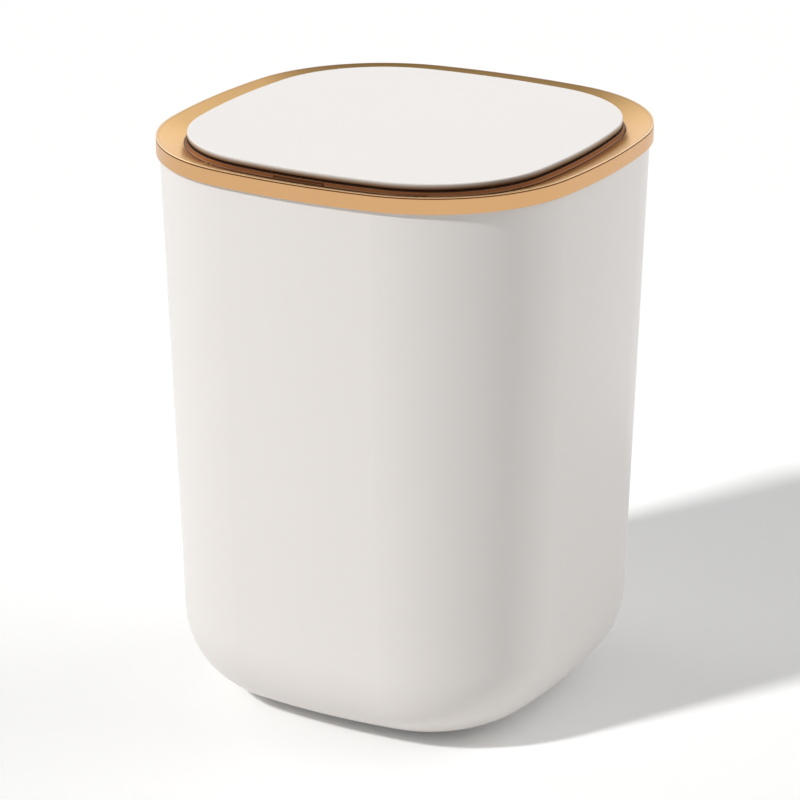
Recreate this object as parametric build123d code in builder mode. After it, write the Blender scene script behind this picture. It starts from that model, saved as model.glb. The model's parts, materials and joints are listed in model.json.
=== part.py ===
from build123d import *
from math import acos, atan2, cos, degrees, pi, radians, sin, sqrt, tan
import os

# Sensor trash can: a tapered tub, a bag ring, a lift-off head with a plated rim, and a motor-driven lid.
# Millimetres. Origin on the floor under the middle of the tub, +Z up, the sensor side at -Y.
# Heights near the top are depths below the rim's sharp top edge. Insets are measured inwards
# from the rim's plan outline, which every other outline follows in parallel.

os.makedirs("parts", exist_ok=True)

# Plan outline of the rim
rim_half_width = 110.0
side_bow_radius = 322.0
rim_corner_radius = 77.0

# Tub
foot_height = 2.0
tub_height = 276.2
tub_wall = 1.8
tub_floor_wall = 2.2
tub_rim_inset = 1.72
tub_taper = 8.72
tub_bottom_radius = 43.0
foot_radius = 8.0
foot_spread = 36.0
foot_socket_depth = 0.8

# Rim ring
rim_above_tub = 7.0
band_height = 7.7
band_wall = 1.4
funnel_wall = 1.6
rest_step_width = 2.0
collar_base_inset = 14.1
collar_base_depth = 4.0
collar_lean = 0.3
collar_top_depth = 1.5
collar_wall = 1.2
collar_foot_depth = 6.4
collar_foot_round = 1.0
edge_round = 0.3
lip_rise = 0.7
lip_round = 0.4
lip_groove_height = 0.4
lip_groove_cut = 0.3

# Bag ring
bag_flange_wall = 1.2
bag_flange_gap = 0.5
bag_wall = 1.4
bag_wall_inset = 4.7
bag_wall_depth = 24.0
bag_notch_half_width = 37.0
bag_notch_gap = 0.2

# Head chassis
chassis_wall = 1.6
deck_wall = 1.8
chassis_gap = 0.8
skirt_drop = 5.0
chute_gap = 1.6
chute_drop = 10.0
mouth_rear_inset = 57.0
mouth_corner_radius = 12.0
boss_radius = 2.6
boss_inset = 12.7
boss_drop = 5.0
cup_gap = 0.3
cup_wall = 1.4
screw_radius = 1.1
screw_hole_gap = 0.05
screw_head_radius = 2.2
screw_head_height = 1.3
screw_pass_gap = 0.2
board_post_radius = 2.2
service_boss_radius = 2.8

# Lid
lid_inset = 14.9
lid_rise = 2.4
lid_edge_height = 3.4
lid_wall = 1.6
lid_top_round = 0.6
lid_under_round = 1.1
liner_gap = 0.3
liner_wall = 1.4
plug_inset = 22.5
plug_depth = 4.5
seal_height = 0.4
seal_width = 0.7
bumper_radius = 2.5
bumper_gap = 0.1
bumper_side_inset = 40.0
bumper_rear_inset = 50.0

# Hinge
lid_axis_inset = 8.5
lid_axis_depth = 8.5
lid_shaft_radius = 1.5
lid_shaft_half_length = 36.5
lid_open_angle = 70.0
arm_x = 26.0
arm_width = 5.0
arm_thickness = 2.4
arm_foot_gap = 0.2
arm_hub_radius = 3.0
arm_drop_inset = 18.8
arm_foot_inset = 37.0
arm_screw_steps = (3.0, 9.0)
arm_bend_radius = 1.6
slot_gap = 0.6
lug_x = 33.0
lug_width = 4.0
lug_root = 6.0
bush_wall = 1.0
shaft_gap = 0.05
hinge_bay_room = 4.0
hinge_bay_side_gap = 0.8

# Gear train, from the lid shaft to the motor
gear_module = 0.5
pressure_angle = 25.0
tooth_rise = 0.4
tooth_drop = 0.5
tooth_play = 0.06
lid_teeth = 12
idler_teeth = 30
wheel_teeth = 34
small_teeth = 10
pinion_teeth = 9
idler_angle = -125.0
compound_angle = -160.0
pinion_angle = 180.0
axle_radius = 0.8
motor_shaft_radius = 1.0
gear_case_left = -22.0
gear_case_width = 14.0
gear_case_wall = 1.1
gear_case_gap = 0.5
wheel_width = 3.0
train_width = 3.6
web_hole_ring = 5.4
web_hole_radius = 1.8
web_hole_count = 5
gear_side_gap = 0.5
gear_floor_gap = 2.0
gear_bay_reach = 10.9
gear_bay_gap = 0.5
mount_screw_grip = 2.0
mount_screw_reach = 17.5
mount_screw_side = 3.0
mount_block_length = 9.0
mount_block_drop = 12.0
case_ear_radius = 2.4
pinion_ear_shift = 0.4
pinion_ear_reach = 6.2
idler_ear_shift = 2.4
idler_ear_reach = 11.4
hub_wall = 0.4
case_screw_radius = 0.8
case_screw_length = 7.0
axle_boss_wall = 1.2

# Motor
motor_width = 12.0
motor_height = 10.0
gearhead_length = 9.0
motor_can_length = 15.0
motor_boss_radius = 2.4
motor_boss_length = 1.2
motor_edge_round = 0.8
gearhead_chamfer = 0.6
clamp_width = 6.0
clamp_wall = 1.6
clamp_reach = 10.2
clamp_ear = 5.0

# Board
board_width = 20.0
board_length = 28.0
board_wall = 1.6
board_standoff = 1.8
board_x = -42.6
board_inset = 37.5
board_screw_radius = 0.75
board_screw_inset = 2.5
connector_spacing = 6.5
connector_inset = 6.5
connector_width = 5.5
connector_length = 3.6
connector_height = 3.0
capacitor_height = 3.6
capacitor_radius = 2.5
capacitor_shift = 6.0
chip_shift = 3.5
chip_forward = 4.0
chip_length = 10.0
chip_width = 4.0
chip_height = 1.5
chip_leg_pitch = 1.27
chip_leg_length = 1.2
chip_leg_width = 0.5
chip_leg_wall = 0.3

# Cells
cell_radius = 7.1
cell_length = 50.5
cell_gap = 0.3
cap_radius = 2.75
tray_wall = 1.2
tray_x = 2.0
tray_inset = 37.0
tray_cover_gap = 0.2
saddle_width = 6.0
contact_room = 2.4
contact_wall = 0.4
contact_width = 7.0
contact_reach = 6.0
contact_crest = 1.0
contact_lip = 0.6
contact_gap = 0.1
cell_roof_gap = 2.0

# Service cover
cover_wall = 1.6
cover_side_gap = 0.7
cover_front_gap = 0.4
cover_rear_inset = 17.5
cover_corner_radius = 3.0
case_notch_gap = 1.0
lug_notch_gap = 1.0
cover_boss_side_inset = 5.0
cover_boss_tray_gap = 4.6
cover_boss_front_inset = 4.5
cover_boss_rear_inset = 5.5
boss_hole_depth = 8.0
service_screw_grip = 6.5
door_wall = 1.6
door_gap = 0.2
door_lip = 1.4
rail_reach = 1.6
door_play = 1.0
hatch_ledge = 2.0
grip_inset = 6.0
grip_length = 18.0
grip_width = 1.0
grip_pitch = 2.2
grip_depth = 0.7
switch_x = -40.0
switch_inset = 50.0
switch_travel = 2.5
switch_height = 4.0
switch_body_length = 10.5
switch_body_width = 5.0
switch_roof_wall = 1.0
slider_length = 4.0
slider_width = 2.0
slider_reach = 2.2
slider_gap = 0.2
slider_top_gap = 0.3

# Sensor
sensor_x = -3.3
window_width = 27.2
window_bridge = 0.6
window_gap = 0.05
window_room = 0.9
sensor_radius = 1.5
sensor_length = 4.2
lens_front_gap = 0.4
status_lens_radius = 1.05
sensor_spread = 9.0
sensor_board_wall = 1.0
sensor_board_length = 28.2
sensor_board_width = 4.2
shroud_wall = 0.7
shroud_side_room = 1.5
shroud_rear_room = 1.8
shroud_side_gap = 0.2
shroud_front_gap = 0.8
shroud_top_gap = 0.1
lead_radius = 0.7
lead_inset = 16.4
lead_depth = 16.6
lead_start_x = -18.0
lead_hole_x = -8.0
lead_hole_depth = 10.2
lead_hole_inset = 19.8
lead_hole_gap = 0.6
lead_hole_reach = 5.0
lead_drop_gap = 0.3
lead_pin_offset = 1.5
leave_angle = 150.0
lead_exit_radius = 1.3
lead_turn_radius = 4.0
lead_plug_radius = 1.0
lead_bend_radius = 1.5
lead_pair_gap = 1.2
motor_lead_spread = 3.8
motor_lead_drop = 1.0
motor_lead_backs = (4.0, 6.0)
battery_lead_drops = (4.0, 6.5)
lead_notch_width = 3.0

# Worked out from the sizes above
rim_z = foot_height + tub_height + rim_above_tub
side_centre = rim_half_width - side_bow_radius
corner_reach = side_bow_radius - rim_corner_radius
corner_centre = (side_centre + sqrt(2 * corner_reach**2 - side_centre**2)) / 2
bow_angle = degrees(atan2(corner_centre, corner_centre - side_centre))
collar_top_inset = collar_base_inset + collar_lean
collar_inner_inset = collar_top_inset + collar_wall
deck_depth = collar_foot_depth + deck_wall
bag_inner_inset = bag_wall_inset + bag_wall
skirt_inset = bag_inner_inset + chassis_gap
chute_inset = collar_inner_inset + chute_gap
mouth_inset = chute_inset + chassis_wall
chute_depth = deck_depth + chute_drop
cup_radius = boss_radius + cup_gap + cup_wall
cup_depth = collar_foot_depth + boss_drop + chassis_wall
screw_hole_radius = screw_radius + screw_hole_gap
lid_axis_z = rim_z - lid_axis_depth
lid_axis_y = rim_half_width - lid_axis_inset
arm_drop_y = rim_half_width - arm_drop_inset
arm_foot_y = rim_half_width - arm_foot_inset
mouth_rear = rim_half_width - mouth_rear_inset
board_y = rim_half_width - board_inset
tray_y = rim_half_width - tray_inset
tray_length = cell_length + 2 * contact_room
cover_half_width = tray_x + tray_length + 2 * tray_wall + cover_side_gap + cover_wall
cover_front = mouth_rear + chassis_wall + cover_front_gap
cover_rear = rim_half_width - cover_rear_inset
switch_y = rim_half_width - switch_inset
lead_hole_y = lead_hole_inset - rim_half_width
connector_y = board_y - board_length / 2 + connector_inset
lead_end_y = connector_y + lead_pin_offset


def at_depth(depth):
    return Plane.XY.offset(rim_z - depth)


def rim_arcs():
    """Centre, radius, first angle and size of the eight arcs of the rim's plan outline."""
    for turn in (0, 90, 180, 270):
        side = Vector(0, side_centre, 0).rotate(Axis.Z, turn)
        corner = Vector(-corner_centre, corner_centre, 0).rotate(Axis.Z, turn)
        yield side, side_bow_radius, 90 - bow_angle + turn, 2 * bow_angle
        yield corner, rim_corner_radius, 90 + bow_angle + turn, 90 - 2 * bow_angle


class RimPlan(BaseSketchObject):
    """The rim's plan outline, moved inwards by an inset."""

    def __init__(self, inset, rotation=0, align=None, mode=Mode.ADD):
        with BuildSketch() as plan:
            with BuildLine():
                for centre, radius, start, size in rim_arcs():
                    CenterArc(centre, radius - inset, start, size)
            make_face()
        super().__init__(plan.sketch, rotation, align, mode)


class RimSweep(BasePartObject):
    """A closed section of (inset, depth) points, carried once round the plan outline."""

    def __init__(self, points, radii=None, rotation=(0, 0, 0), align=None, mode=Mode.ADD):
        with BuildPart() as loop:
            for centre, radius, start, size in rim_arcs():
                outward = Vector(1, 0, 0).rotate(Axis.Z, start)
                tangent = Vector(0, -1, 0).rotate(Axis.Z, start)
                corners = [(radius - inset, rim_z - depth) for inset, depth in points]
                with BuildSketch(Plane(centre, x_dir=outward, z_dir=tangent)):
                    with BuildLine():
                        FilletPolyline(*corners, radius=radii or 0, close=True)
                    make_face()
                revolve(axis=Axis(centre, (0, 0, 1)), revolution_arc=size)
        super().__init__(loop.part, rotation, align, mode)


class SpurPlan(BaseSketchObject):
    """Plan of an involute spur gear with one tooth centred at the phase angle."""

    def __init__(self, teeth, phase=0, rotation=0, align=None, mode=Mode.ADD):
        pitch_radius = gear_module * teeth / 2
        base_radius = pitch_radius * cos(radians(pressure_angle))
        tip_radius = pitch_radius + tooth_rise
        root_radius = pitch_radius - tooth_drop
        half_pitch_angle = (pi * gear_module / 2 - tooth_play) / (2 * pitch_radius)
        pitch_involute = tan(radians(pressure_angle)) - radians(pressure_angle)
        flank_start = max(base_radius, root_radius)
        flank = []
        for step in range(5):
            radius = flank_start + (tip_radius - flank_start) * step / 4
            roll = acos(min(1, base_radius / radius))
            half_angle = half_pitch_angle + pitch_involute - (tan(roll) - roll)
            flank.append(Vector(radius * cos(half_angle), radius * sin(half_angle)))
        left = [Vector(point.X, -point.Y) for point in flank]
        root_point = flank[0] * ((root_radius - 0.1) / flank[0].length)
        with BuildSketch() as tooth:
            with BuildLine():
                Spline(*flank)
                Spline(*left)
                Line(flank[-1], left[-1])
                Line(flank[0], root_point)
                Line(left[0], (root_point.X, -root_point.Y))
                Line(root_point, (root_point.X, -root_point.Y))
            make_face()
        with BuildSketch() as gear:
            Circle(root_radius)
            with PolarLocations(0, teeth, start_angle=phase):
                add(tooth.sketch)
        super().__init__(gear.sketch, rotation, align, mode)


class PanScrew(BasePartObject):
    """A self-tapping screw: its seat at the origin, its thread along +Z, its head along -Z."""

    def __init__(self, length, radius=screw_radius, rotation=(0, 0, 0), align=None, mode=Mode.ADD):
        head_radius = radius * screw_head_radius / screw_radius
        with BuildPart() as screw:
            with BuildSketch():
                Circle(radius)
            extrude(amount=length)
            chamfer(screw.edges().sort_by(Axis.Z)[-1], radius * 0.4)
            with BuildSketch():
                Circle(head_radius)
            extrude(amount=-screw_head_height)
            fillet(screw.edges().sort_by(Axis.Z)[0], screw_head_height * 0.4)
            with BuildSketch(Plane.XY.offset(-screw_head_height)):
                Rectangle(head_radius * 1.1, radius * 0.35)
                Rectangle(radius * 0.35, head_radius * 1.1)
            extrude(amount=screw_head_height * 0.5, mode=Mode.SUBTRACT)
        super().__init__(screw.part, rotation, align, mode)


def rim_point(angle, inset):
    """The point of an inset outline that lies at a plan angle seen from the middle."""
    heading = Vector(1, 0, 0).rotate(Axis.Z, angle)
    for centre, radius, start, size in rim_arcs():
        reach = radius - inset
        along = heading.dot(centre)
        distance = along + sqrt(along**2 - centre.length**2 + reach**2)
        spot = heading * distance
        bearing = degrees(atan2(spot.Y - centre.Y, spot.X - centre.X))
        if (bearing - start) % 360 <= size:
            return spot
    raise ValueError("no outline point at this angle")


def save(piece, name):
    piece.part.label = name
    export_step(piece.part, f"parts/{name}.step")


# Gear train in the plane of +Y and +Z: each centre is one mesh distance from the one before
def mesh_step(start, teeth_a, teeth_b, angle):
    distance = gear_module * (teeth_a + teeth_b) / 2
    return (start[0] + distance * cos(radians(angle)), start[1] + distance * sin(radians(angle)))


def mesh_phase(teeth_a, phase_a, teeth_b, angle):
    """Phase of gear b so that its gaps meet the teeth of gear a along the line of centres."""
    share = ((angle - phase_a) * teeth_a / 360) % 1
    return angle + 180 - (0.5 - share) * 360 / teeth_b


lid_centre = (lid_axis_y, lid_axis_z)
idler_centre = mesh_step(lid_centre, lid_teeth, idler_teeth, idler_angle)
compound_centre = mesh_step(idler_centre, idler_teeth, small_teeth, compound_angle)
pinion_centre = mesh_step(compound_centre, wheel_teeth, pinion_teeth, pinion_angle)
lid_phase = idler_angle
idler_phase = mesh_phase(lid_teeth, lid_phase, idler_teeth, idler_angle)
small_phase = mesh_phase(idler_teeth, idler_phase, small_teeth, compound_angle)
wheel_phase = pinion_angle
pinion_phase = mesh_phase(wheel_teeth, wheel_phase, pinion_teeth, pinion_angle)
wheel_left = gear_case_left + gear_case_wall + gear_side_gap
train_left = wheel_left + wheel_width + gear_side_gap
small_right = train_left + train_width + gear_side_gap
gear_case_right = gear_case_left + gear_case_width
wheel_tip = gear_module * wheel_teeth / 2 + tooth_rise
idler_tip = gear_module * idler_teeth / 2 + tooth_rise
pinion_tip = gear_module * pinion_teeth / 2 + tooth_rise
lid_tip = gear_module * lid_teeth / 2 + tooth_rise
case_under_depth = rim_z - compound_centre[1] + wheel_tip + gear_case_gap + gear_case_wall
cover_depth = case_under_depth + gear_floor_gap + cover_wall
cover_left = gear_case_right - gear_case_wall
clamp_mid = gear_case_left - gearhead_length / 2
clamp_screw_spots = [(clamp_mid, pinion_centre[0] + side * clamp_reach) for side in (-1, 1)]

# Tub: the wall and its bottom radius go round the outline, and a flat floor closes them
tub_bottom_depth = rim_z - foot_height
tub_floor_inset = tub_rim_inset + tub_taper + tub_bottom_radius
inner_radius = tub_bottom_radius - tub_floor_wall
tub_outer = [
    (tub_rim_inset, rim_above_tub),
    (tub_rim_inset + tub_taper, tub_bottom_depth),
    (tub_floor_inset, tub_bottom_depth),
    (tub_floor_inset, tub_bottom_depth - tub_floor_wall),
    (tub_rim_inset + tub_taper + tub_wall, tub_bottom_depth - tub_floor_wall),
    (tub_rim_inset + tub_wall, rim_above_tub),
]
foot_spots = [(x, y) for x in (-foot_spread, foot_spread) for y in (-foot_spread, foot_spread)]

with BuildPart() as outer_bucket:
    RimSweep(tub_outer, [0, tub_bottom_radius, 0, 0, inner_radius, 0])
    with BuildSketch(Plane.XY.offset(foot_height)):
        RimPlan(tub_floor_inset)
    extrude(amount=tub_floor_wall)
    with BuildSketch(Plane.XY.offset(foot_height)):
        with Locations(*foot_spots):
            Circle(foot_radius + shaft_gap)
    extrude(amount=foot_socket_depth, mode=Mode.SUBTRACT)
save(outer_bucket, "outer_bucket")

with BuildPart() as foot_pads:
    with BuildSketch():
        with Locations(*foot_spots):
            Circle(foot_radius)
    extrude(amount=foot_height + foot_socket_depth)
    fillet(foot_pads.edges().group_by(Axis.Z)[0], 0.5)
save(foot_pads, "foot_pads")

# Bag ring: lies on the tub's rim, its wall clamps the bag, its rear is cut away for the hinge
bag_top_depth = rim_above_tub - bag_flange_wall
bag_section = [
    (tub_rim_inset + bag_flange_gap, bag_top_depth),
    (tub_rim_inset + bag_flange_gap, rim_above_tub),
    (bag_wall_inset, rim_above_tub),
    (bag_wall_inset, bag_wall_depth),
    (bag_inner_inset, bag_wall_depth),
    (bag_inner_inset, bag_top_depth),
]

with BuildPart() as bag_ring:
    RimSweep(bag_section, [0, 0, 0, 0.4, 0.4, 0.5])
    with BuildSketch(at_depth(bag_wall_depth + 1)):
        RimPlan(tub_rim_inset + tub_wall + bag_notch_gap)
        Rectangle(
            2 * bag_notch_half_width, rim_half_width, align=(Align.CENTER, Align.MIN), mode=Mode.INTERSECT
        )
    extrude(amount=bag_wall_depth + 1, mode=Mode.SUBTRACT)
save(bag_ring, "bag_ring")

# Rim ring: band, sloped funnel and collar in one moulding, with bosses for the chassis
slope = (collar_base_depth + lip_rise) / collar_base_inset
funnel_drop = funnel_wall - lip_rise
step_inset = band_wall + rest_step_width
rim_section = [
    (0, band_height),
    (0, lip_groove_height),
    (lip_groove_cut, lip_groove_height),
    (lip_groove_cut, 0),
    (0, 0),
    (0, -lip_rise),
    (collar_base_inset, collar_base_depth),
    (collar_top_inset, collar_top_depth),
    (collar_inner_inset, collar_top_depth),
    (collar_inner_inset, collar_foot_depth),
    (collar_base_inset + edge_round, collar_foot_depth),
    (collar_base_inset + edge_round, slope * (collar_base_inset + edge_round) + funnel_drop),
    (step_inset, slope * step_inset + funnel_drop),
    (step_inset, bag_top_depth),
    (band_wall, bag_top_depth),
    (band_wall, band_height),
]
rim_radii = [edge_round, 0, 0, 0, 0, lip_round, collar_foot_round, edge_round, 0, 0, 0, 0, 0, 0, 0, 0]
collar_section = [
    (collar_base_inset, collar_base_depth),
    (collar_top_inset, collar_top_depth),
    (collar_inner_inset, collar_top_depth),
    (collar_inner_inset, collar_base_depth),
]
boss_angles = [-108, -72, -135, -45, 0, 180, 45, 135]
boss_spots = [rim_point(angle, boss_inset) for angle in boss_angles]
slot_half_width = arm_width / 2 + slot_gap
window_front_y = -rim_half_width + collar_base_inset - window_gap
window_cut = collar_lean + collar_wall + 1
window_height = collar_base_depth - collar_top_depth - window_bridge
arm_slot_front = arm_drop_y - arm_thickness / 2 - slot_gap
arm_slot_rear = lid_axis_y + arm_thickness / 2 / sin(radians(lid_open_angle))
arm_slots = [(side * arm_x, arm_slot_front) for side in (-1, 1)]

with BuildPart() as rim_ring:
    RimSweep(rim_section, rim_radii)
    with BuildSketch(at_depth(collar_foot_depth + boss_drop)):
        with Locations(*boss_spots):
            Circle(boss_radius)
    extrude(amount=collar_foot_depth + boss_drop - collar_base_depth - edge_round / 2)
    with BuildSketch(at_depth(collar_foot_depth + boss_drop)):
        with Locations(*boss_spots):
            Circle(screw_hole_radius)
    extrude(amount=boss_drop + screw_pass_gap, mode=Mode.SUBTRACT)
    with BuildSketch(at_depth(collar_base_depth)):
        with Locations((sensor_x, window_front_y)):
            Rectangle(window_width, window_cut, align=(Align.CENTER, Align.MIN))
    extrude(amount=window_height, mode=Mode.SUBTRACT)
    with BuildSketch(at_depth(bag_top_depth + 1)):
        with Locations(*arm_slots):
            Rectangle(
                2 * slot_half_width, arm_slot_rear - arm_slot_front, align=(Align.CENTER, Align.MIN)
            )
    extrude(amount=bag_top_depth + 1, mode=Mode.SUBTRACT)
save(rim_ring, "rim_ring")

with BuildPart() as sensor_window:
    RimSweep(collar_section)
    with BuildSketch(at_depth(collar_base_depth)):
        with Locations((sensor_x, window_front_y)):
            Rectangle(window_width - 2 * window_gap, window_cut, align=(Align.CENTER, Align.MIN))
    extrude(amount=window_height - window_gap, mode=Mode.INTERSECT)
save(sensor_window, "sensor_window")

# Head chassis: plate under the collar, chute wall, skirt, screw cups, rear deck and hinge lugs
hinge_bay_front = lid_axis_y - hinge_bay_room
hinge_bay_half_width = lid_shaft_half_length + hinge_bay_side_gap
shroud_half_width = window_width / 2 + shroud_wall + shroud_side_room
shroud_rear_y = -rim_half_width + collar_inner_inset + sensor_board_width + shroud_rear_room
gear_bay_front = lid_axis_y - gear_bay_reach
service_bosses = [
    (x, y)
    for x in (-cover_half_width + cover_boss_side_inset, tray_x - cover_boss_tray_gap)
    for y in (cover_front + cover_boss_front_inset, cover_rear - cover_boss_rear_inset)
]
mount_screw_y = lid_axis_y - mount_screw_reach
mount_screws = [
    (gear_case_left + mount_screw_side, mount_screw_y),
    (gear_case_right - mount_screw_side, mount_screw_y),
]
board_holes = [
    (
        board_x + side * (board_width / 2 - board_screw_inset),
        board_y + end * (board_length / 2 - board_screw_inset),
    )
    for side in (-1, 1)
    for end in (-1, 1)
]

with BuildPart() as head_chassis:
    with BuildSketch(at_depth(deck_depth)):
        RimPlan(skirt_inset)
    extrude(amount=deck_wall)
    RimSweep(
        [
            (skirt_inset, deck_depth),
            (skirt_inset, deck_depth + skirt_drop),
            (skirt_inset + chassis_wall, deck_depth + skirt_drop),
            (skirt_inset + chassis_wall, deck_depth),
        ]
    )
    with BuildSketch(at_depth(chute_depth)) as chute:
        RimPlan(chute_inset)
        with Locations((0, mouth_rear + chassis_wall)):
            Rectangle(
                2 * rim_half_width, 2 * rim_half_width, align=(Align.CENTER, Align.MAX), mode=Mode.INTERSECT
            )
        fillet(chute.vertices().group_by(Axis.Y)[-1], mouth_corner_radius + chassis_wall)
    extrude(amount=chute_drop)
    with BuildSketch(at_depth(chute_depth)) as mouth:
        RimPlan(mouth_inset)
        with Locations((0, mouth_rear)):
            Rectangle(
                2 * rim_half_width, 2 * rim_half_width, align=(Align.CENTER, Align.MAX), mode=Mode.INTERSECT
            )
        fillet(mouth.vertices().group_by(Axis.Y)[-1], mouth_corner_radius)
    extrude(amount=chute_depth, mode=Mode.SUBTRACT)
    with BuildSketch(at_depth(deck_depth)):
        with Locations((sensor_x, -rim_half_width + chute_inset)):
            Rectangle(
                2 * shroud_half_width,
                shroud_rear_y + rim_half_width - chute_inset,
                align=(Align.CENTER, Align.MIN),
            )
    extrude(amount=deck_wall)
    with BuildSketch(at_depth(cup_depth)):
        with Locations(*boss_spots):
            Circle(cup_radius)
    extrude(amount=cup_depth - deck_depth)
    with BuildSketch(at_depth(collar_foot_depth + boss_drop)):
        with Locations(*boss_spots):
            Circle(boss_radius + cup_gap)
    extrude(amount=boss_drop, mode=Mode.SUBTRACT)
    with BuildSketch(at_depth(cup_depth)):
        with Locations(*boss_spots):
            Circle(screw_radius + cup_gap)
    extrude(amount=chassis_wall, mode=Mode.SUBTRACT)
    with BuildSketch(at_depth(deck_depth + skirt_drop)):
        with Locations((0, hinge_bay_front)):
            Rectangle(2 * hinge_bay_half_width, rim_half_width, align=(Align.CENTER, Align.MIN))
        with Locations((0, gear_bay_front)):
            with Locations((gear_case_left - gear_bay_gap, 0)):
                Rectangle(gear_case_width + 2 * gear_bay_gap, rim_half_width, align=(Align.MIN, Align.MIN))
        with Locations(*arm_slots):
            Rectangle(2 * slot_half_width, rim_half_width, align=(Align.CENTER, Align.MIN))
    extrude(amount=deck_depth, mode=Mode.SUBTRACT)
    for side in (-1, 1):
        with BuildSketch(Plane.YZ.offset(side * lug_x)) as lug:
            with Locations((lid_axis_y, lid_axis_z)):
                Circle(arm_hub_radius)
            with Locations((lid_axis_y, rim_z - collar_foot_depth)):
                Rectangle(
                    lid_axis_y - hinge_bay_front + lug_root,
                    lid_axis_depth + arm_hub_radius - collar_foot_depth,
                    align=(Align.MAX, Align.MAX),
                )
        extrude(amount=lug_width / 2, both=True)
    with BuildSketch(Plane.YZ):
        with Locations((lid_axis_y, lid_axis_z)):
            Circle(lid_shaft_radius + shaft_gap + bush_wall)
    extrude(amount=hinge_bay_half_width + 1, both=True, mode=Mode.SUBTRACT)
    with BuildSketch(at_depth(cover_depth - cover_wall)):
        with Locations(*service_bosses):
            Circle(service_boss_radius)
    extrude(amount=cover_depth - cover_wall - deck_depth)
    with BuildSketch(at_depth(cover_depth - cover_wall)):
        with Locations(*service_bosses):
            Circle(screw_hole_radius)
    extrude(amount=boss_hole_depth, mode=Mode.SUBTRACT)
    with BuildSketch(at_depth(deck_depth + board_standoff)):
        with Locations(*board_holes):
            Circle(board_post_radius)
    extrude(amount=board_standoff)
    with BuildSketch(at_depth(deck_depth + board_standoff)):
        with Locations(*board_holes):
            Circle(board_screw_radius + screw_hole_gap)
    extrude(amount=board_standoff + 0.8, mode=Mode.SUBTRACT)
    with BuildSketch(at_depth(deck_depth)):
        with Locations(*mount_screws):
            Circle(screw_radius + cup_gap)
    extrude(amount=deck_wall, mode=Mode.SUBTRACT)
    with BuildSketch(at_depth(deck_depth)):
        with Locations(*clamp_screw_spots):
            Circle(screw_hole_radius)
    extrude(amount=deck_wall - 0.2, mode=Mode.SUBTRACT)
    with BuildSketch(Plane.XZ.offset(-lead_hole_y)):
        with Locations((lead_hole_x, rim_z - lead_hole_depth)):
            Circle(lead_radius + lead_hole_gap)
    extrude(amount=lead_hole_reach, both=True, mode=Mode.SUBTRACT)
    with BuildSketch(at_depth(deck_depth)):
        with Locations((lead_hole_x, lead_hole_y)):
            Circle(lead_radius + lead_drop_gap)
    extrude(amount=deck_wall, mode=Mode.SUBTRACT)
save(head_chassis, "head_chassis")

with BuildPart() as chassis_screws:
    with Locations(*[(spot.X, spot.Y, rim_z - cup_depth) for spot in boss_spots]):
        PanScrew(chassis_wall + boss_drop - 0.8)
save(chassis_screws, "chassis_screws")

# Lid: a thin shell with a rounded lower edge, and a plug-shaped liner under it
lid_under_depth = lid_edge_height - lid_rise
lid_ceiling_depth = lid_wall - lid_rise
lid_section = [
    (lid_inset, lid_under_depth),
    (lid_inset, -lid_rise),
    (plug_inset, -lid_rise),
    (plug_inset, lid_ceiling_depth),
    (lid_inset + lid_wall, lid_ceiling_depth),
    (lid_inset + lid_wall, lid_under_depth),
]
with BuildPart() as lid_panel:
    RimSweep(lid_section, [lid_under_round, lid_top_round, 0, 0, 0, 0.3])
    with BuildSketch(at_depth(lid_ceiling_depth)):
        RimPlan(plug_inset)
    extrude(amount=lid_wall)
save(lid_panel, "lid_panel")

liner_inset = lid_inset + lid_wall + liner_gap
liner_under_depth = lid_ceiling_depth + liner_wall
floor_top_depth = plug_depth - liner_wall
arm_foot_thickness = arm_thickness - arm_foot_gap
arm_screw_spots = [
    (side * arm_x, arm_foot_y + along) for side in (-1, 1) for along in arm_screw_steps
]
with BuildPart() as lid_liner:
    with BuildSketch(at_depth(liner_under_depth)):
        RimPlan(liner_inset)
    extrude(amount=liner_wall)
    with BuildSketch(at_depth(plug_depth)):
        RimPlan(plug_inset)
    extrude(amount=plug_depth - liner_under_depth)
    fillet(lid_liner.edges().group_by(Axis.Z)[0], 0.6)
    with BuildSketch(at_depth(floor_top_depth)):
        RimPlan(plug_inset + liner_wall)
    extrude(amount=floor_top_depth - lid_ceiling_depth, mode=Mode.SUBTRACT)
    with BuildSketch(at_depth(floor_top_depth)):
        with Locations((-arm_x, arm_foot_y), (arm_x, arm_foot_y)):
            Rectangle(arm_width + arm_foot_gap, rim_half_width, align=(Align.CENTER, Align.MIN))
    extrude(amount=floor_top_depth - liner_under_depth, mode=Mode.SUBTRACT)
    with BuildSketch(at_depth(plug_depth)):
        with Locations(*arm_screw_spots):
            Circle(screw_radius + screw_pass_gap)
    extrude(amount=liner_wall, mode=Mode.SUBTRACT)
save(lid_liner, "lid_liner")

with BuildPart() as lid_seal:
    RimSweep(
        [
            (collar_top_inset + edge_round, collar_top_depth),
            (collar_top_inset + edge_round, collar_top_depth - seal_height),
            (collar_top_inset + edge_round + seal_width, collar_top_depth - seal_height),
            (collar_top_inset + edge_round + seal_width, collar_top_depth),
        ]
    )
    with BuildSketch(at_depth(collar_top_depth)):
        with Locations(*arm_slots):
            Rectangle(2 * slot_half_width, rim_half_width, align=(Align.CENTER, Align.MIN))
    extrude(amount=collar_top_depth, mode=Mode.SUBTRACT)
save(lid_seal, "lid_seal")

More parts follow.
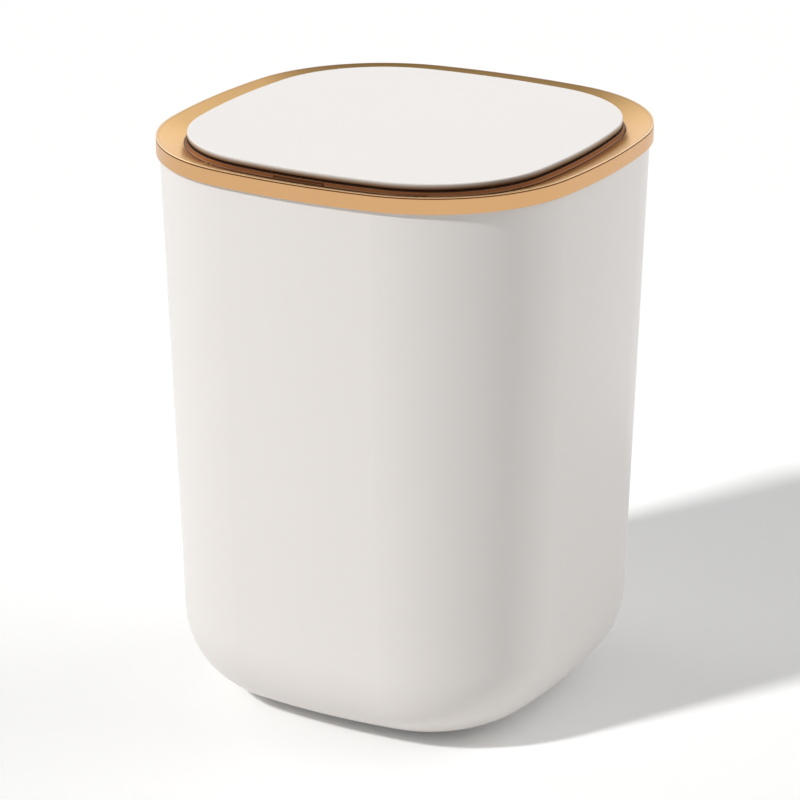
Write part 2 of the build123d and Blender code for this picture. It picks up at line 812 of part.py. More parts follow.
# Gooseneck hinge arms: foot in the liner, neck inside the collar, hub on the shaft
foot_mid_depth = floor_top_depth - arm_foot_thickness / 2
for side, name in ((-1, "hinge_arm_left"), (1, "hinge_arm_right")):
    with BuildPart() as hinge_arm:
        with BuildSketch(Plane.YZ.offset(side * arm_x)) as profile:
            with BuildLine() as spine:
                FilletPolyline(
                    (arm_foot_y, rim_z - foot_mid_depth),
                    (arm_drop_y, rim_z - foot_mid_depth),
                    (arm_drop_y, lid_axis_z),
                    (lid_axis_y, lid_axis_z),
                    radius=arm_bend_radius,
                )
            trace(line_width=arm_foot_thickness)
            with Locations((lid_axis_y, lid_axis_z)):
                Circle(arm_hub_radius)
                Circle(lid_shaft_radius, mode=Mode.SUBTRACT)
        extrude(amount=arm_width / 2, both=True)
        with BuildSketch(at_depth(floor_top_depth)):
            with Locations(*[spot for spot in arm_screw_spots if spot[0] * side > 0]):
                Circle(screw_hole_radius)
        extrude(amount=arm_foot_thickness, mode=Mode.SUBTRACT)
    save(hinge_arm, name)

with BuildPart() as arm_screws:
    with Locations(*[(x, y, rim_z - plug_depth) for x, y in arm_screw_spots]):
        PanScrew(liner_wall + arm_foot_thickness - 0.3)
save(arm_screws, "arm_screws")

with BuildPart() as lid_shaft:
    with BuildSketch(Plane.YZ):
        with Locations((lid_axis_y, lid_axis_z)):
            Circle(lid_shaft_radius)
    extrude(amount=lid_shaft_half_length, both=True)
    chamfer(lid_shaft.edges(), 0.3)
save(lid_shaft, "lid_shaft")

with BuildPart() as hinge_bushes:
    for side in (-1, 1):
        with BuildSketch(Plane.YZ.offset(side * lug_x)):
            with Locations((lid_axis_y, lid_axis_z)):
                Circle(lid_shaft_radius + shaft_gap + bush_wall)
                Circle(lid_shaft_radius + shaft_gap, mode=Mode.SUBTRACT)
        extrude(amount=lug_width / 2, both=True)
save(hinge_bushes, "hinge_bushes")

bumper_x = rim_half_width - bumper_side_inset
bumper_y = rim_half_width - bumper_rear_inset
with BuildPart() as lid_bumpers:
    with BuildSketch(at_depth(plug_depth)):
        with Locations(*[(side * bumper_x, bumper_y) for side in (-1, 1)]):
            Circle(bumper_radius)
    extrude(amount=-(collar_foot_depth - plug_depth - bumper_gap))
    fillet(lid_bumpers.edges().group_by(Axis.Z)[0], 0.6)
save(lid_bumpers, "lid_bumpers")

# Gears, each turning in the plane of +Y and +Z
with BuildPart() as lid_gear:
    with BuildSketch(Plane.YZ.offset(train_left)):
        with Locations(lid_centre):
            SpurPlan(lid_teeth, lid_phase)
            Circle(lid_shaft_radius, mode=Mode.SUBTRACT)
    extrude(amount=train_width)
save(lid_gear, "lid_gear")

with BuildPart() as idler_gear:
    with BuildSketch(Plane.YZ.offset(train_left)):
        with Locations(idler_centre):
            SpurPlan(idler_teeth, idler_phase)
            Circle(axle_radius + shaft_gap, mode=Mode.SUBTRACT)
    extrude(amount=train_width)
    with BuildSketch(Plane.YZ.offset(cover_left - gear_side_gap)):
        with Locations(idler_centre):
            Circle(axle_radius + axle_boss_wall)
            Circle(axle_radius + shaft_gap, mode=Mode.SUBTRACT)
    extrude(amount=-(cover_left - gear_side_gap - train_left - train_width))
save(idler_gear, "idler_gear")

with BuildPart() as compound_gear:
    with BuildSketch(Plane.YZ.offset(wheel_left)):
        with Locations(compound_centre):
            SpurPlan(wheel_teeth, wheel_phase)
            with PolarLocations(web_hole_ring, web_hole_count):
                Circle(web_hole_radius, mode=Mode.SUBTRACT)
    extrude(amount=wheel_width)
    with BuildSketch(Plane.YZ.offset(wheel_left + wheel_width)):
        with Locations(compound_centre):
            SpurPlan(small_teeth, small_phase)
    extrude(amount=small_right - wheel_left - wheel_width)
    with BuildSketch(Plane.YZ.offset(wheel_left)):
        with Locations(compound_centre):
            Circle(axle_radius + shaft_gap)
    extrude(amount=gear_case_width, mode=Mode.SUBTRACT)
save(compound_gear, "compound_gear")

with BuildPart() as motor_pinion:
    with BuildSketch(Plane.YZ.offset(wheel_left)):
        with Locations(pinion_centre):
            SpurPlan(pinion_teeth, pinion_phase)
            Circle(motor_shaft_radius, mode=Mode.SUBTRACT)
    extrude(amount=wheel_width)
save(motor_pinion, "motor_pinion")

with BuildPart() as motor_shaft:
    with BuildSketch(Plane.YZ.offset(gear_case_left - gearhead_length / 2)):
        with Locations(pinion_centre):
            Circle(motor_shaft_radius)
    extrude(amount=wheel_left + wheel_width + gear_side_gap - gear_case_left + gearhead_length / 2)
    chamfer(motor_shaft.edges().sort_by(Axis.X)[-1], 0.2)
save(motor_shaft, "motor_shaft")

# Gear case: two side plates round the train; the lid gear looks out of its open rear corner
train_circles = [(pinion_centre, pinion_tip), (compound_centre, wheel_tip), (idler_centre, idler_tip)]
case_left = Plane.YZ.offset(gear_case_left)
case_screws = [
    (pinion_centre[0] - pinion_ear_shift, pinion_centre[1] - pinion_ear_reach),
    (pinion_centre[0] - pinion_ear_shift, pinion_centre[1] + pinion_ear_reach),
    (idler_centre[0] + idler_ear_shift, idler_centre[1] - idler_ear_reach),
]


class TrainPlan(BaseSketchObject):
    """Outline round the enclosed gears, at a gap from their tips."""

    def __init__(self, gap, rotation=0, align=None, mode=Mode.ADD):
        with BuildSketch() as plan:
            for centre, tip in train_circles:
                with Locations(centre):
                    Circle(tip + gap)
            make_hull()
        super().__init__(plan.sketch, rotation, align, mode)


with BuildPart() as gearbox_case:
    with BuildSketch(case_left):
        TrainPlan(gear_case_gap + gear_case_wall)
        with Locations(lid_centre):
            Circle(arm_hub_radius + hub_wall)
        with Locations(*case_screws):
            Circle(case_ear_radius)
        with Locations((mount_screw_y, rim_z - deck_depth)):
            Rectangle(mount_block_length, mount_block_drop, align=(Align.CENTER, Align.MAX))
    extrude(amount=gear_case_width - gear_case_wall)
    with BuildSketch(Plane.YZ.offset(gear_case_left + gear_case_wall)):
        TrainPlan(gear_case_gap)
        with Locations(lid_centre):
            Circle(lid_tip + gear_case_gap)
    extrude(amount=gear_case_width, mode=Mode.SUBTRACT)
    with BuildSketch(case_left):
        with Locations(lid_centre):
            Circle(lid_shaft_radius + screw_pass_gap)
        with Locations(pinion_centre):
            Circle(motor_shaft_radius + cup_gap)
    extrude(amount=gear_case_wall, mode=Mode.SUBTRACT)
    with BuildSketch(case_left):
        with Locations(idler_centre, compound_centre):
            Circle(axle_radius + axle_boss_wall)
            Circle(axle_radius, mode=Mode.SUBTRACT)
    extrude(amount=gear_case_wall + gear_side_gap / 2)
    with BuildSketch(case_left):
        with Locations(idler_centre, compound_centre):
            Circle(axle_radius)
    extrude(amount=gear_case_wall + gear_side_gap, mode=Mode.SUBTRACT)
    with BuildSketch(case_left.offset(3)):
        with Locations(*case_screws):
            Circle(case_screw_radius + screw_hole_gap)
    extrude(amount=gear_case_width, mode=Mode.SUBTRACT)
    with BuildSketch(at_depth(deck_depth + mount_screw_grip)):
        with Locations(*mount_screws):
            Circle(screw_hole_radius)
    extrude(amount=mount_screw_grip, mode=Mode.SUBTRACT)
save(gearbox_case, "gearbox_case")

with BuildPart() as gearbox_cover:
    with BuildSketch(Plane.YZ.offset(cover_left)):
        TrainPlan(gear_case_gap + gear_case_wall)
        with Locations(lid_centre):
            Circle(arm_hub_radius + hub_wall)
        with Locations(*case_screws):
            Circle(case_ear_radius)
        with Locations(lid_centre):
            Circle(lid_shaft_radius + screw_pass_gap, mode=Mode.SUBTRACT)
        with Locations(*case_screws):
            Circle(case_screw_radius + screw_pass_gap, mode=Mode.SUBTRACT)
        with Locations(idler_centre, compound_centre):
            Circle(axle_radius, mode=Mode.SUBTRACT)
    extrude(amount=gear_case_wall)
save(gearbox_cover, "gearbox_cover")

with BuildPart() as gear_axles:
    with BuildSketch(case_left):
        with Locations(idler_centre, compound_centre):
            Circle(axle_radius)
    extrude(amount=gear_case_width)
save(gear_axles, "gear_axles")

with BuildPart() as gearbox_screws:
    with Locations(*[(gear_case_right, y, z) for y, z in case_screws]):
        PanScrew(case_screw_length, radius=case_screw_radius, rotation=(0, -90, 0))
save(gearbox_screws, "gearbox_screws")

with BuildPart() as gearbox_mount_screws:
    with Locations(*[(x, y, rim_z - collar_foot_depth) for x, y in mount_screws]):
        PanScrew(deck_wall + mount_screw_grip - 0.3, rotation=(180, 0, 0))
save(gearbox_mount_screws, "gearbox_mount_screws")

# Motor: gearhead box and flattened can in line with the pinion, held up by a strap
gearhead_left = gear_case_left - gearhead_length
with BuildPart() as motor_gearhead:
    with BuildSketch(Plane.YZ.offset(gearhead_left)):
        with Locations(pinion_centre):
            Rectangle(motor_width, motor_height)
    extrude(amount=gearhead_length)
    chamfer(motor_gearhead.edges().filter_by(Axis.X), gearhead_chamfer)
    with BuildSketch(case_left):
        with Locations(pinion_centre):
            Circle(motor_shaft_radius + shaft_gap)
    extrude(amount=-gearhead_length / 2, mode=Mode.SUBTRACT)
save(motor_gearhead, "motor_gearhead")

motor_left = gearhead_left - motor_can_length
with BuildPart() as motor_can:
    with BuildSketch(Plane.YZ.offset(motor_left)):
        with Locations(pinion_centre):
            Circle(motor_width / 2)
            Rectangle(motor_width, motor_height, mode=Mode.INTERSECT)
    extrude(amount=motor_can_length)
    fillet(motor_can.edges().group_by(Axis.X)[0], motor_edge_round)
    with BuildSketch(Plane.YZ.offset(motor_left - motor_boss_length)):
        with Locations(pinion_centre):
            Circle(motor_boss_radius)
    extrude(amount=2 * motor_boss_length)
save(motor_can, "motor_can")

with BuildPart() as motor_clamp:
    with BuildSketch(Plane.YZ.offset(clamp_mid - clamp_width / 2)):
        with Locations((pinion_centre[0], pinion_centre[1] - motor_height / 2 - clamp_wall)):
            Rectangle(
                motor_width + 2 * clamp_wall,
                rim_z - deck_depth - pinion_centre[1] + motor_height / 2 + clamp_wall,
                align=(Align.CENTER, Align.MIN),
            )
        with Locations((pinion_centre[0], rim_z - deck_depth)):
            Rectangle(
                motor_width + 2 * (clamp_wall + clamp_ear), clamp_wall, align=(Align.CENTER, Align.MAX)
            )
        with Locations((pinion_centre[0], pinion_centre[1] - motor_height / 2 - shaft_gap)):
            Rectangle(
                motor_width + 2 * shaft_gap, rim_z, align=(Align.CENTER, Align.MIN), mode=Mode.SUBTRACT
            )
    extrude(amount=clamp_width)
    with BuildSketch(at_depth(deck_depth + clamp_wall)):
        with Locations(*clamp_screw_spots):
            Circle(screw_radius + screw_pass_gap)
    extrude(amount=clamp_wall, mode=Mode.SUBTRACT)
save(motor_clamp, "motor_clamp")

with BuildPart() as clamp_screws:
    with Locations(*[(x, y, rim_z - deck_depth - clamp_wall) for x, y in clamp_screw_spots]):
        PanScrew(clamp_wall + deck_wall - 0.4)
save(clamp_screws, "clamp_screws")

# Control board under the deck, with its parts below it
board_top_depth = deck_depth + board_standoff
board_under_depth = board_top_depth + board_wall
with BuildPart() as main_board:
    with BuildSketch(at_depth(board_under_depth)):
        with Locations((board_x, board_y)):
            Rectangle(board_width, board_length)
        with Locations(*board_holes):
            Circle(board_screw_radius + screw_pass_gap, mode=Mode.SUBTRACT)
    extrude(amount=board_wall)
save(main_board, "main_board")

with BuildPart() as board_screws:
    with Locations(*[(x, y, rim_z - board_under_depth) for x, y in board_holes]):
        PanScrew(board_wall + board_standoff, radius=board_screw_radius)
save(board_screws, "board_screws")

with BuildPart() as board_chip:
    with BuildSketch(at_depth(board_under_depth + chip_height)):
        with Locations((board_x - chip_shift, board_y + chip_forward)):
            Rectangle(chip_length, chip_width)
    extrude(amount=chip_height)
    with BuildSketch(at_depth(board_under_depth + chip_leg_wall)):
        with Locations((board_x - chip_shift, board_y + chip_forward)):
            with GridLocations(chip_leg_pitch, chip_width + chip_leg_length, 8, 2):
                Rectangle(chip_leg_width, chip_leg_length)
    extrude(amount=chip_leg_wall)
save(board_chip, "board_chip")

with BuildPart() as board_capacitor:
    with BuildSketch(at_depth(board_under_depth + capacitor_height)):
        with Locations((board_x + capacitor_shift, board_y + chip_forward)):
            Circle(capacitor_radius)
    extrude(amount=capacitor_height)
    fillet(board_capacitor.edges().group_by(Axis.Z)[0], 0.4)
save(board_capacitor, "board_capacitor")

connector_x = [board_x + along * connector_spacing for along in (-1, 0, 1)]
connector_depth = board_under_depth + connector_height
with BuildPart() as board_connectors:
    with BuildSketch(at_depth(connector_depth)):
        with Locations(*[(x, connector_y) for x in connector_x]):
            Rectangle(connector_width, connector_length)
    extrude(amount=connector_height)
save(board_connectors, "board_connectors")

# Battery tray under the deck, open below, with two cells side by side
tray_top_depth = deck_depth
cell_depth = tray_top_depth + tray_wall + cell_roof_gap + cell_radius
tray_inner_width = 4 * (cell_radius + cell_gap)
tray_bottom_depth = cover_depth - cover_wall - tray_cover_gap
cell_spots = [tray_y + side * (cell_radius + cell_gap) for side in (-1, 1)]
cell_z = rim_z - cell_depth
tray_mid = tray_x + tray_wall + tray_length / 2
with BuildPart() as battery_tray:
    with BuildSketch(at_depth(tray_bottom_depth)):
        with Locations((tray_mid, tray_y)):
            Rectangle(tray_length + 2 * tray_wall, tray_inner_width + 2 * tray_wall)
    extrude(amount=tray_bottom_depth - tray_top_depth)
    with BuildSketch(at_depth(tray_bottom_depth)):
        with Locations((tray_mid, tray_y)):
            Rectangle(tray_length, tray_inner_width)
    extrude(amount=tray_bottom_depth - tray_top_depth - tray_wall, mode=Mode.SUBTRACT)
    with BuildSketch(Plane.YZ.offset(tray_mid)):
        with Locations(*[(y, rim_z - tray_top_depth - tray_wall) for y in cell_spots]):
            Rectangle(saddle_width, cell_roof_gap + cell_radius, align=(Align.CENTER, Align.MAX))
        with Locations(*[(y, cell_z) for y in cell_spots]):
            Circle(cell_radius + shaft_gap, mode=Mode.SUBTRACT)
    extrude(amount=cell_length / 4, both=True)
save(battery_tray, "battery_tray")

with BuildPart() as battery_cells:
    for side, y in zip((-1, 1), cell_spots):
        with BuildSketch(Plane.YZ.offset(tray_mid)):
            with Locations((y, cell_z)):
                Circle(cell_radius)
        extrude(amount=cell_length / 2 - 0.75, both=True)
        with BuildSketch(Plane.YZ.offset(tray_mid)):
            with Locations((y, cell_z)):
                Circle(cap_radius)
        extrude(amount=side * cell_length / 2)
    fillet(battery_cells.edges().filter_by(GeomType.CIRCLE).group_by(SortBy.RADIUS)[-1], 0.5)
save(battery_cells, "battery_cells")

with BuildPart() as battery_contacts:
    for end in (-1, 1):
        plane_x = tray_mid + end * tray_length / 2
        crest_x = plane_x - end * (contact_room - contact_gap)
        for y in cell_spots:
            with BuildSketch(Plane.XZ.offset(-(y - contact_width / 2))):
                with BuildLine():
                    Polyline(
                        (plane_x, cell_z + contact_reach),
                        (plane_x - end * contact_wall, cell_z + contact_reach),
                        (crest_x, cell_z + contact_crest),
                        (crest_x, cell_z - contact_crest),
                        (plane_x - end * contact_wall, cell_z - contact_reach),
                        (plane_x, cell_z - contact_reach),
                        (plane_x, cell_z - contact_reach + contact_lip),
                        (crest_x + end * contact_wall, cell_z - contact_crest + contact_gap),
                        (crest_x + end * contact_wall, cell_z + contact_crest - contact_gap),
                        (plane_x, cell_z + contact_reach - contact_lip),
                        close=True,
                    )
                make_face()
            extrude(amount=-contact_width)
save(battery_contacts, "battery_contacts")

# Service cover: a box under the deck with the door opening, the door rails and the switch slot
cover_mid_y = (cover_front + cover_rear) / 2
cover_width = cover_rear - cover_front
cover_height = cover_depth - deck_depth
door_width = tray_length - door_play
door_length = tray_inner_width + door_play
door_top_depth = cover_depth + door_gap
rail_height = door_gap + door_wall + door_gap + door_lip
switch_slot_length = switch_travel + slider_length + 2 * slider_gap
with BuildPart() as service_cover:
    with BuildSketch(at_depth(cover_depth)):
        with Locations((0, cover_mid_y)):
            RectangleRounded(2 * cover_half_width, cover_width, cover_corner_radius)
    extrude(amount=cover_height)
    with BuildSketch(at_depth(cover_depth - cover_wall)):
        with Locations((0, cover_mid_y)):
            RectangleRounded(
                2 * (cover_half_width - cover_wall),
                cover_width - 2 * cover_wall,
                cover_corner_radius - cover_wall,
            )
    extrude(amount=cover_height, mode=Mode.SUBTRACT)
    with BuildSketch(at_depth(cover_depth)):
        with Locations((gear_case_left - case_notch_gap, cover_rear - 2 * cover_wall)):
            Rectangle(
                gear_case_width + 2 * case_notch_gap, 4 * cover_wall, align=(Align.MIN, Align.MIN)
            )
    extrude(amount=cover_height, mode=Mode.SUBTRACT)
    with BuildSketch(at_depth(cover_depth)):
        with Locations((tray_mid, tray_y)):
            Rectangle(door_width - 2 * hatch_ledge, door_length - 2 * hatch_ledge)
        with Locations((switch_x, switch_y)):
            Rectangle(switch_slot_length, slider_width + 2 * slider_gap)
        with Locations(*service_bosses):
            Circle(screw_radius + screw_pass_gap)
    extrude(amount=cover_wall, mode=Mode.SUBTRACT)
    for side in (-1, 1):
        outward_align = (Align.MIN if side > 0 else Align.MAX, Align.CENTER)
        with BuildSketch(at_depth(cover_depth + rail_height)):
            with Locations((tray_mid + side * (door_width / 2 + door_gap), tray_y)):
                Rectangle(rail_reach, door_length, align=outward_align)
        extrude(amount=rail_height)
        with BuildSketch(at_depth(cover_depth + rail_height)):
            with Locations((tray_mid + side * (door_width / 2 - door_lip), tray_y)):
                Rectangle(door_lip + door_gap, door_length, align=outward_align)
        extrude(amount=door_lip)
    with BuildSketch(Plane.YZ.offset(-cover_half_width)):
        with Locations((lead_end_y, rim_z - deck_depth)):
            Rectangle(
                lead_notch_width,
                lead_depth + lead_notch_width / 2 - deck_depth,
                align=(Align.CENTER, Align.MAX),
            )
    extrude(amount=cover_wall, mode=Mode.SUBTRACT)
    with BuildSketch(Plane.XZ.offset(-cover_rear)):
        for side in (-1, 1):
            with Locations((side * (arm_x - arm_width / 2 - lug_notch_gap), rim_z - deck_depth)):
                Rectangle(
                    lug_x + lug_width / 2 - arm_x + arm_width / 2 + 2 * lug_notch_gap,
                    lid_axis_depth + arm_hub_radius + lug_notch_gap - deck_depth,
                    align=(Align.MIN if side > 0 else Align.MAX, Align.MAX),
                )
    extrude(amount=2 * cover_wall, mode=Mode.SUBTRACT)
save(service_cover, "service_cover")

with BuildPart() as service_screws:
    with Locations(*[(x, y, rim_z - cover_depth) for x, y in service_bosses]):
        PanScrew(cover_wall + service_screw_grip)
save(service_screws, "service_screws")

with BuildPart() as battery_door:
    with BuildSketch(at_depth(door_top_depth + door_wall)):
        with Locations((tray_mid, tray_y)):
            RectangleRounded(door_width, door_length, 0.8)
    extrude(amount=door_wall)
    with BuildSketch(at_depth(door_top_depth + door_wall)):
        with Locations((tray_mid, tray_y - door_length / 2 + grip_inset)):
            with GridLocations(0, grip_pitch, 1, 4):
                SlotOverall(grip_length, grip_width)
    extrude(amount=-grip_depth)
save(battery_door, "battery_door")

# Power switch: the body stands on the cover's floor, its slider reaches down through the slot
switch_plane = at_depth(cover_depth - cover_wall)
with BuildPart() as power_switch_body:
    with BuildSketch(switch_plane):
        with Locations((switch_x, switch_y)):
            Rectangle(switch_body_length, switch_body_width)
            Rectangle(switch_slot_length, slider_width + 3 * slider_gap, mode=Mode.SUBTRACT)
    extrude(amount=switch_height - switch_roof_wall)
    with BuildSketch(at_depth(cover_depth - cover_wall - switch_height + switch_roof_wall)):
        with Locations((switch_x, switch_y)):
            Rectangle(switch_body_length, switch_body_width)
    extrude(amount=switch_roof_wall)
save(power_switch_body, "power_switch_body")

with BuildPart() as power_switch_slider:
    with BuildSketch(at_depth(cover_depth + slider_reach)):
        with Locations((switch_x - switch_travel / 2, switch_y)):
            Rectangle(slider_length, slider_width)
    extrude(amount=slider_reach + cover_wall + switch_height - switch_roof_wall - slider_top_gap)
    fillet(power_switch_slider.edges().group_by(Axis.Z)[0], 0.3)
save(power_switch_slider, "power_switch_slider")

# Sensor: a small board on the chassis behind the window, a pair of infrared parts and a status light
window_back_y = -rim_half_width + collar_inner_inset + window_room
sensor_board_depth = collar_foot_depth - sensor_board_wall
with BuildPart() as sensor_board:
    with BuildSketch(at_depth(collar_foot_depth)):
        with Locations((sensor_x, window_back_y)):
            Rectangle(sensor_board_length, sensor_board_width, align=(Align.CENTER, Align.MIN))
    extrude(amount=sensor_board_wall)
save(sensor_board, "sensor_board")


class RoundLens(BasePartObject):
    """A round-nosed light part lying along Y, with a flange at its back."""

    def __init__(self, radius, length, rotation=(0, 0, 0), align=None, mode=Mode.ADD):
        with BuildPart() as lens:
            with BuildSketch(Plane.XZ):
                Circle(radius)
            extrude(amount=length)
            fillet(lens.edges().sort_by(Axis.Y)[0], radius * 0.7)
        super().__init__(lens.part, rotation, align, mode)


lens_back_y = window_back_y + sensor_length
sensor_parts = {
    "ir_emitter": (sensor_x - sensor_spread, sensor_radius),
    "ir_receiver": (sensor_x + sensor_spread, sensor_radius),
    "status_led": (sensor_x, status_lens_radius),
}
for name, (x, radius) in sensor_parts.items():
    with BuildPart() as sensor_part:
        with Locations((x, lens_back_y, rim_z - sensor_board_depth + radius)):
            RoundLens(radius, sensor_length - lens_front_gap)
    save(sensor_part, name)

shroud_top_depth = collar_top_depth + shroud_top_gap
shroud_front_y = -rim_half_width + collar_inner_inset + shroud_front_gap
shroud_width = 2 * (shroud_half_width - shroud_side_gap)
shroud_length = shroud_rear_y - shroud_front_y
with BuildPart() as sensor_shroud:
    with BuildSketch(at_depth(collar_foot_depth)):
        with Locations((sensor_x, shroud_front_y)):
            Rectangle(shroud_width, shroud_length, align=(Align.CENTER, Align.MIN))
    extrude(amount=collar_foot_depth - shroud_top_depth)
    fillet(sensor_shroud.edges().filter_by(Axis.Z).group_by(Axis.Y)[-1], 1.5)
    with BuildSketch(at_depth(collar_foot_depth)):
        with Locations((sensor_x, shroud_rear_y - shroud_wall)):
            Rectangle(
                shroud_width - 2 * shroud_wall, 2 * shroud_length, align=(Align.CENTER, Align.MAX)
            )
    extrude(amount=collar_foot_depth - shroud_top_depth - shroud_wall, mode=Mode.SUBTRACT)
save(sensor_shroud, "sensor_shroud")

# Leads: one along the outside of the chute wall to the sensor, and short pairs to motor and cells
lead_z = rim_z - lead_depth
side_radius = side_bow_radius - lead_inset
corner_radius = rim_corner_radius - lead_inset
front_centre = Vector(0, -side_centre, lead_z)
left_centre = Vector(-side_centre, 0, lead_z)
front_corner = Vector(-corner_centre, -corner_centre, lead_z)
rear_corner = Vector(-corner_centre, corner_centre, lead_z)
start_angle = degrees(acos(lead_start_x / side_radius))
run_start = front_centre + Vector(side_radius, 0).rotate(Axis.Z, -start_angle)
run_tangent = Vector(0, 1, 0).rotate(Axis.Z, -start_angle)
run_back = run_start + run_tangent * (lead_hole_x - lead_start_x)
leave = rear_corner + Vector(corner_radius, 0).rotate(Axis.Z, leave_angle)
leave_heading = Vector(0, -1, 0).rotate(Axis.Z, leave_angle)
turn_point = leave + leave_heading * ((lead_end_y - leave.Y) / leave_heading.Y)
plug_z = rim_z - connector_depth

with BuildPart() as sensor_lead:
    with BuildLine() as route:
        FilletPolyline(
            (run_back.X, lead_hole_y, rim_z - collar_foot_depth),
            (run_back.X, lead_hole_y, rim_z - lead_hole_depth),
            (run_back.X, run_back.Y, rim_z - lead_hole_depth),
            run_back,
            run_start,
            radius=lead_exit_radius,
        )
        CenterArc(front_centre, side_radius, -start_angle, start_angle - 90 - bow_angle)
        CenterArc(front_corner, corner_radius, -90 - bow_angle, 2 * bow_angle - 90)
        CenterArc(left_centre, side_radius, 180 + bow_angle, -2 * bow_angle)
        CenterArc(rear_corner, corner_radius, 180 - bow_angle, leave_angle - 180 + bow_angle)
        FilletPolyline(
            leave,
            turn_point,
            (connector_x[0], lead_end_y, lead_z),
            (connector_x[0], lead_end_y, plug_z),
            radius=[lead_turn_radius, lead_plug_radius],
        )
    with BuildSketch(Plane(route.line @ 0, z_dir=route.line % 0)):
        Circle(lead_radius)
    sweep(path=route.line)
save(sensor_lead, "sensor_lead")
print("sensor lead length", round(sensor_lead.part.volume / (pi * lead_radius**2), 1))


class ShortLead(BasePartObject):
    """A round lead along straight runs that are joined by tangent arcs."""

    def __init__(self, points, rotation=(0, 0, 0), align=None, mode=Mode.ADD):
        with BuildPart() as lead:
            with BuildLine() as route:
                FilletPolyline(*points, radius=lead_bend_radius)
            with BuildSketch(Plane(route.line @ 0, z_dir=route.line % 0)):
                Circle(lead_radius)
            sweep(path=route.line)
        super().__init__(lead.part, rotation, align, mode)


motor_y, motor_z = pinion_centre
motor_lead_z = motor_z - motor_lead_drop
with BuildPart() as motor_leads:
    for side, back in ((-1, motor_lead_backs[0]), (1, motor_lead_backs[1])):
        lead_y = motor_y + side * motor_lead_spread
        pin_x = connector_x[1] + side * lead_pair_gap
        ShortLead(
            [
                (motor_left, lead_y, motor_z),
                (motor_left - back, lead_y, motor_z),
                (motor_left - back, connector_y, motor_lead_z),
                (pin_x, connector_y, motor_lead_z),
                (pin_x, connector_y, plug_z),
            ]
        )
save(motor_leads, "motor_leads")

with BuildPart() as battery_leads:
    for side, drop in ((-1, battery_lead_drops[0]), (1, battery_lead_drops[1])):
        lead_y = connector_y + side * lead_pair_gap
        pin_x = connector_x[2] + side * lead_pair_gap
        ShortLead(
            [(tray_x, lead_y, plug_z - drop), (pin_x, lead_y, plug_z - drop), (pin_x, lead_y, plug_z)]
        )
save(battery_leads, "battery_leads")
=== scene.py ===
import json
import math

import bpy
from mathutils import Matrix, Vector


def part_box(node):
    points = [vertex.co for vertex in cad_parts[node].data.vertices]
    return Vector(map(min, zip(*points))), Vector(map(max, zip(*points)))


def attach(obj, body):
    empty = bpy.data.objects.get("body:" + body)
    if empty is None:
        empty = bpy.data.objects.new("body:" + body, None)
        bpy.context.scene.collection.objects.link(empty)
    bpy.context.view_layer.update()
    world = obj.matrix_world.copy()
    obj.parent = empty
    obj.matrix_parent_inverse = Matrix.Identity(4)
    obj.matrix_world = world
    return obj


# Sensor trash can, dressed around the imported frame. Metres, +Z up, the sensor side at -Y.

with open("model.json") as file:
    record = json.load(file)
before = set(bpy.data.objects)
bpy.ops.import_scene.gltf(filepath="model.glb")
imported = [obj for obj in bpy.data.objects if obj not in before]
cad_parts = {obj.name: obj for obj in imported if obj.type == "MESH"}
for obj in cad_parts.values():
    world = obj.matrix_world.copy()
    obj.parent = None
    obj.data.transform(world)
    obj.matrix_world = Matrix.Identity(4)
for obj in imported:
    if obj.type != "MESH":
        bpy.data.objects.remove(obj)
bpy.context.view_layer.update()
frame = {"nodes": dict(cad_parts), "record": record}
nodes = frame["nodes"]
bpy.ops.object.select_all(action="DESELECT")
print("frame loaded:", len(nodes), "nodes")

# Camera, fitted to the outlines in the photograph
cameraView = {
    "azimuth": 29.228,
    "elevation": 20.086,
    "distance": 1.7248,
    "aimHeight": 0.1463,
    "lens": 157.54,
    "shiftX": -0.0081,
    "shiftY": -0.0013,
}


def placeCamera(settings):
    turn = math.radians(settings["azimuth"])
    rise = math.radians(settings["elevation"])
    back = Vector((math.sin(turn) * math.cos(rise), -math.cos(turn) * math.cos(rise), math.sin(rise)))
    aim = Vector((0, 0, settings["aimHeight"]))
    bpy.ops.object.camera_add(location=aim + back * settings["distance"])
    camera = bpy.context.object
    camera.name = "studioCamera"
    camera.rotation_mode = "QUATERNION"
    camera.rotation_quaternion = (-back).to_track_quat("-Z", "Y")
    camera.data.lens = settings["lens"]
    camera.data.shift_x = settings["shiftX"]
    camera.data.shift_y = settings["shiftY"]
    bpy.context.scene.camera = camera


placeCamera(cameraView)


# Small helpers for node trees
def addNode(tree, kind, **values):
    node = tree.nodes.new(kind)
    for name, value in values.items():
        setattr(node, name, value)
    return node


def fill(tree, node, **values):
    # gives sockets a value, or a link where the value is another node's output
    for name, value in values.items():
        socket = node.inputs[name.replace("_", " ")]
        if isinstance(value, bpy.types.NodeSocket):
            tree.links.new(value, socket)
        else:
            socket.default_value = value
    return node


def maths(tree, operation, first, second):
    node = addNode(tree, "ShaderNodeMath", operation=operation)
    for socket, value in zip(node.inputs, (first, second)):
        if isinstance(value, bpy.types.NodeSocket):
            tree.links.new(value, socket)
        else:
            socket.default_value = value
    return node.outputs[0]


def ramp(tree, value, start, end):
    # smooth step from 0 at start to 1 at end; start may be the higher one
    step = addNode(tree, "ShaderNodeMapRange", interpolation_type="SMOOTHSTEP")
    low, high = min(start, end), max(start, end)
    fill(tree, step, Value=value, From_Min=low, From_Max=high)
    step.inputs["To Min"].default_value = 0.0 if start < end else 1.0
    step.inputs["To Max"].default_value = 1.0 if start < end else 0.0
    return step.outputs["Result"]


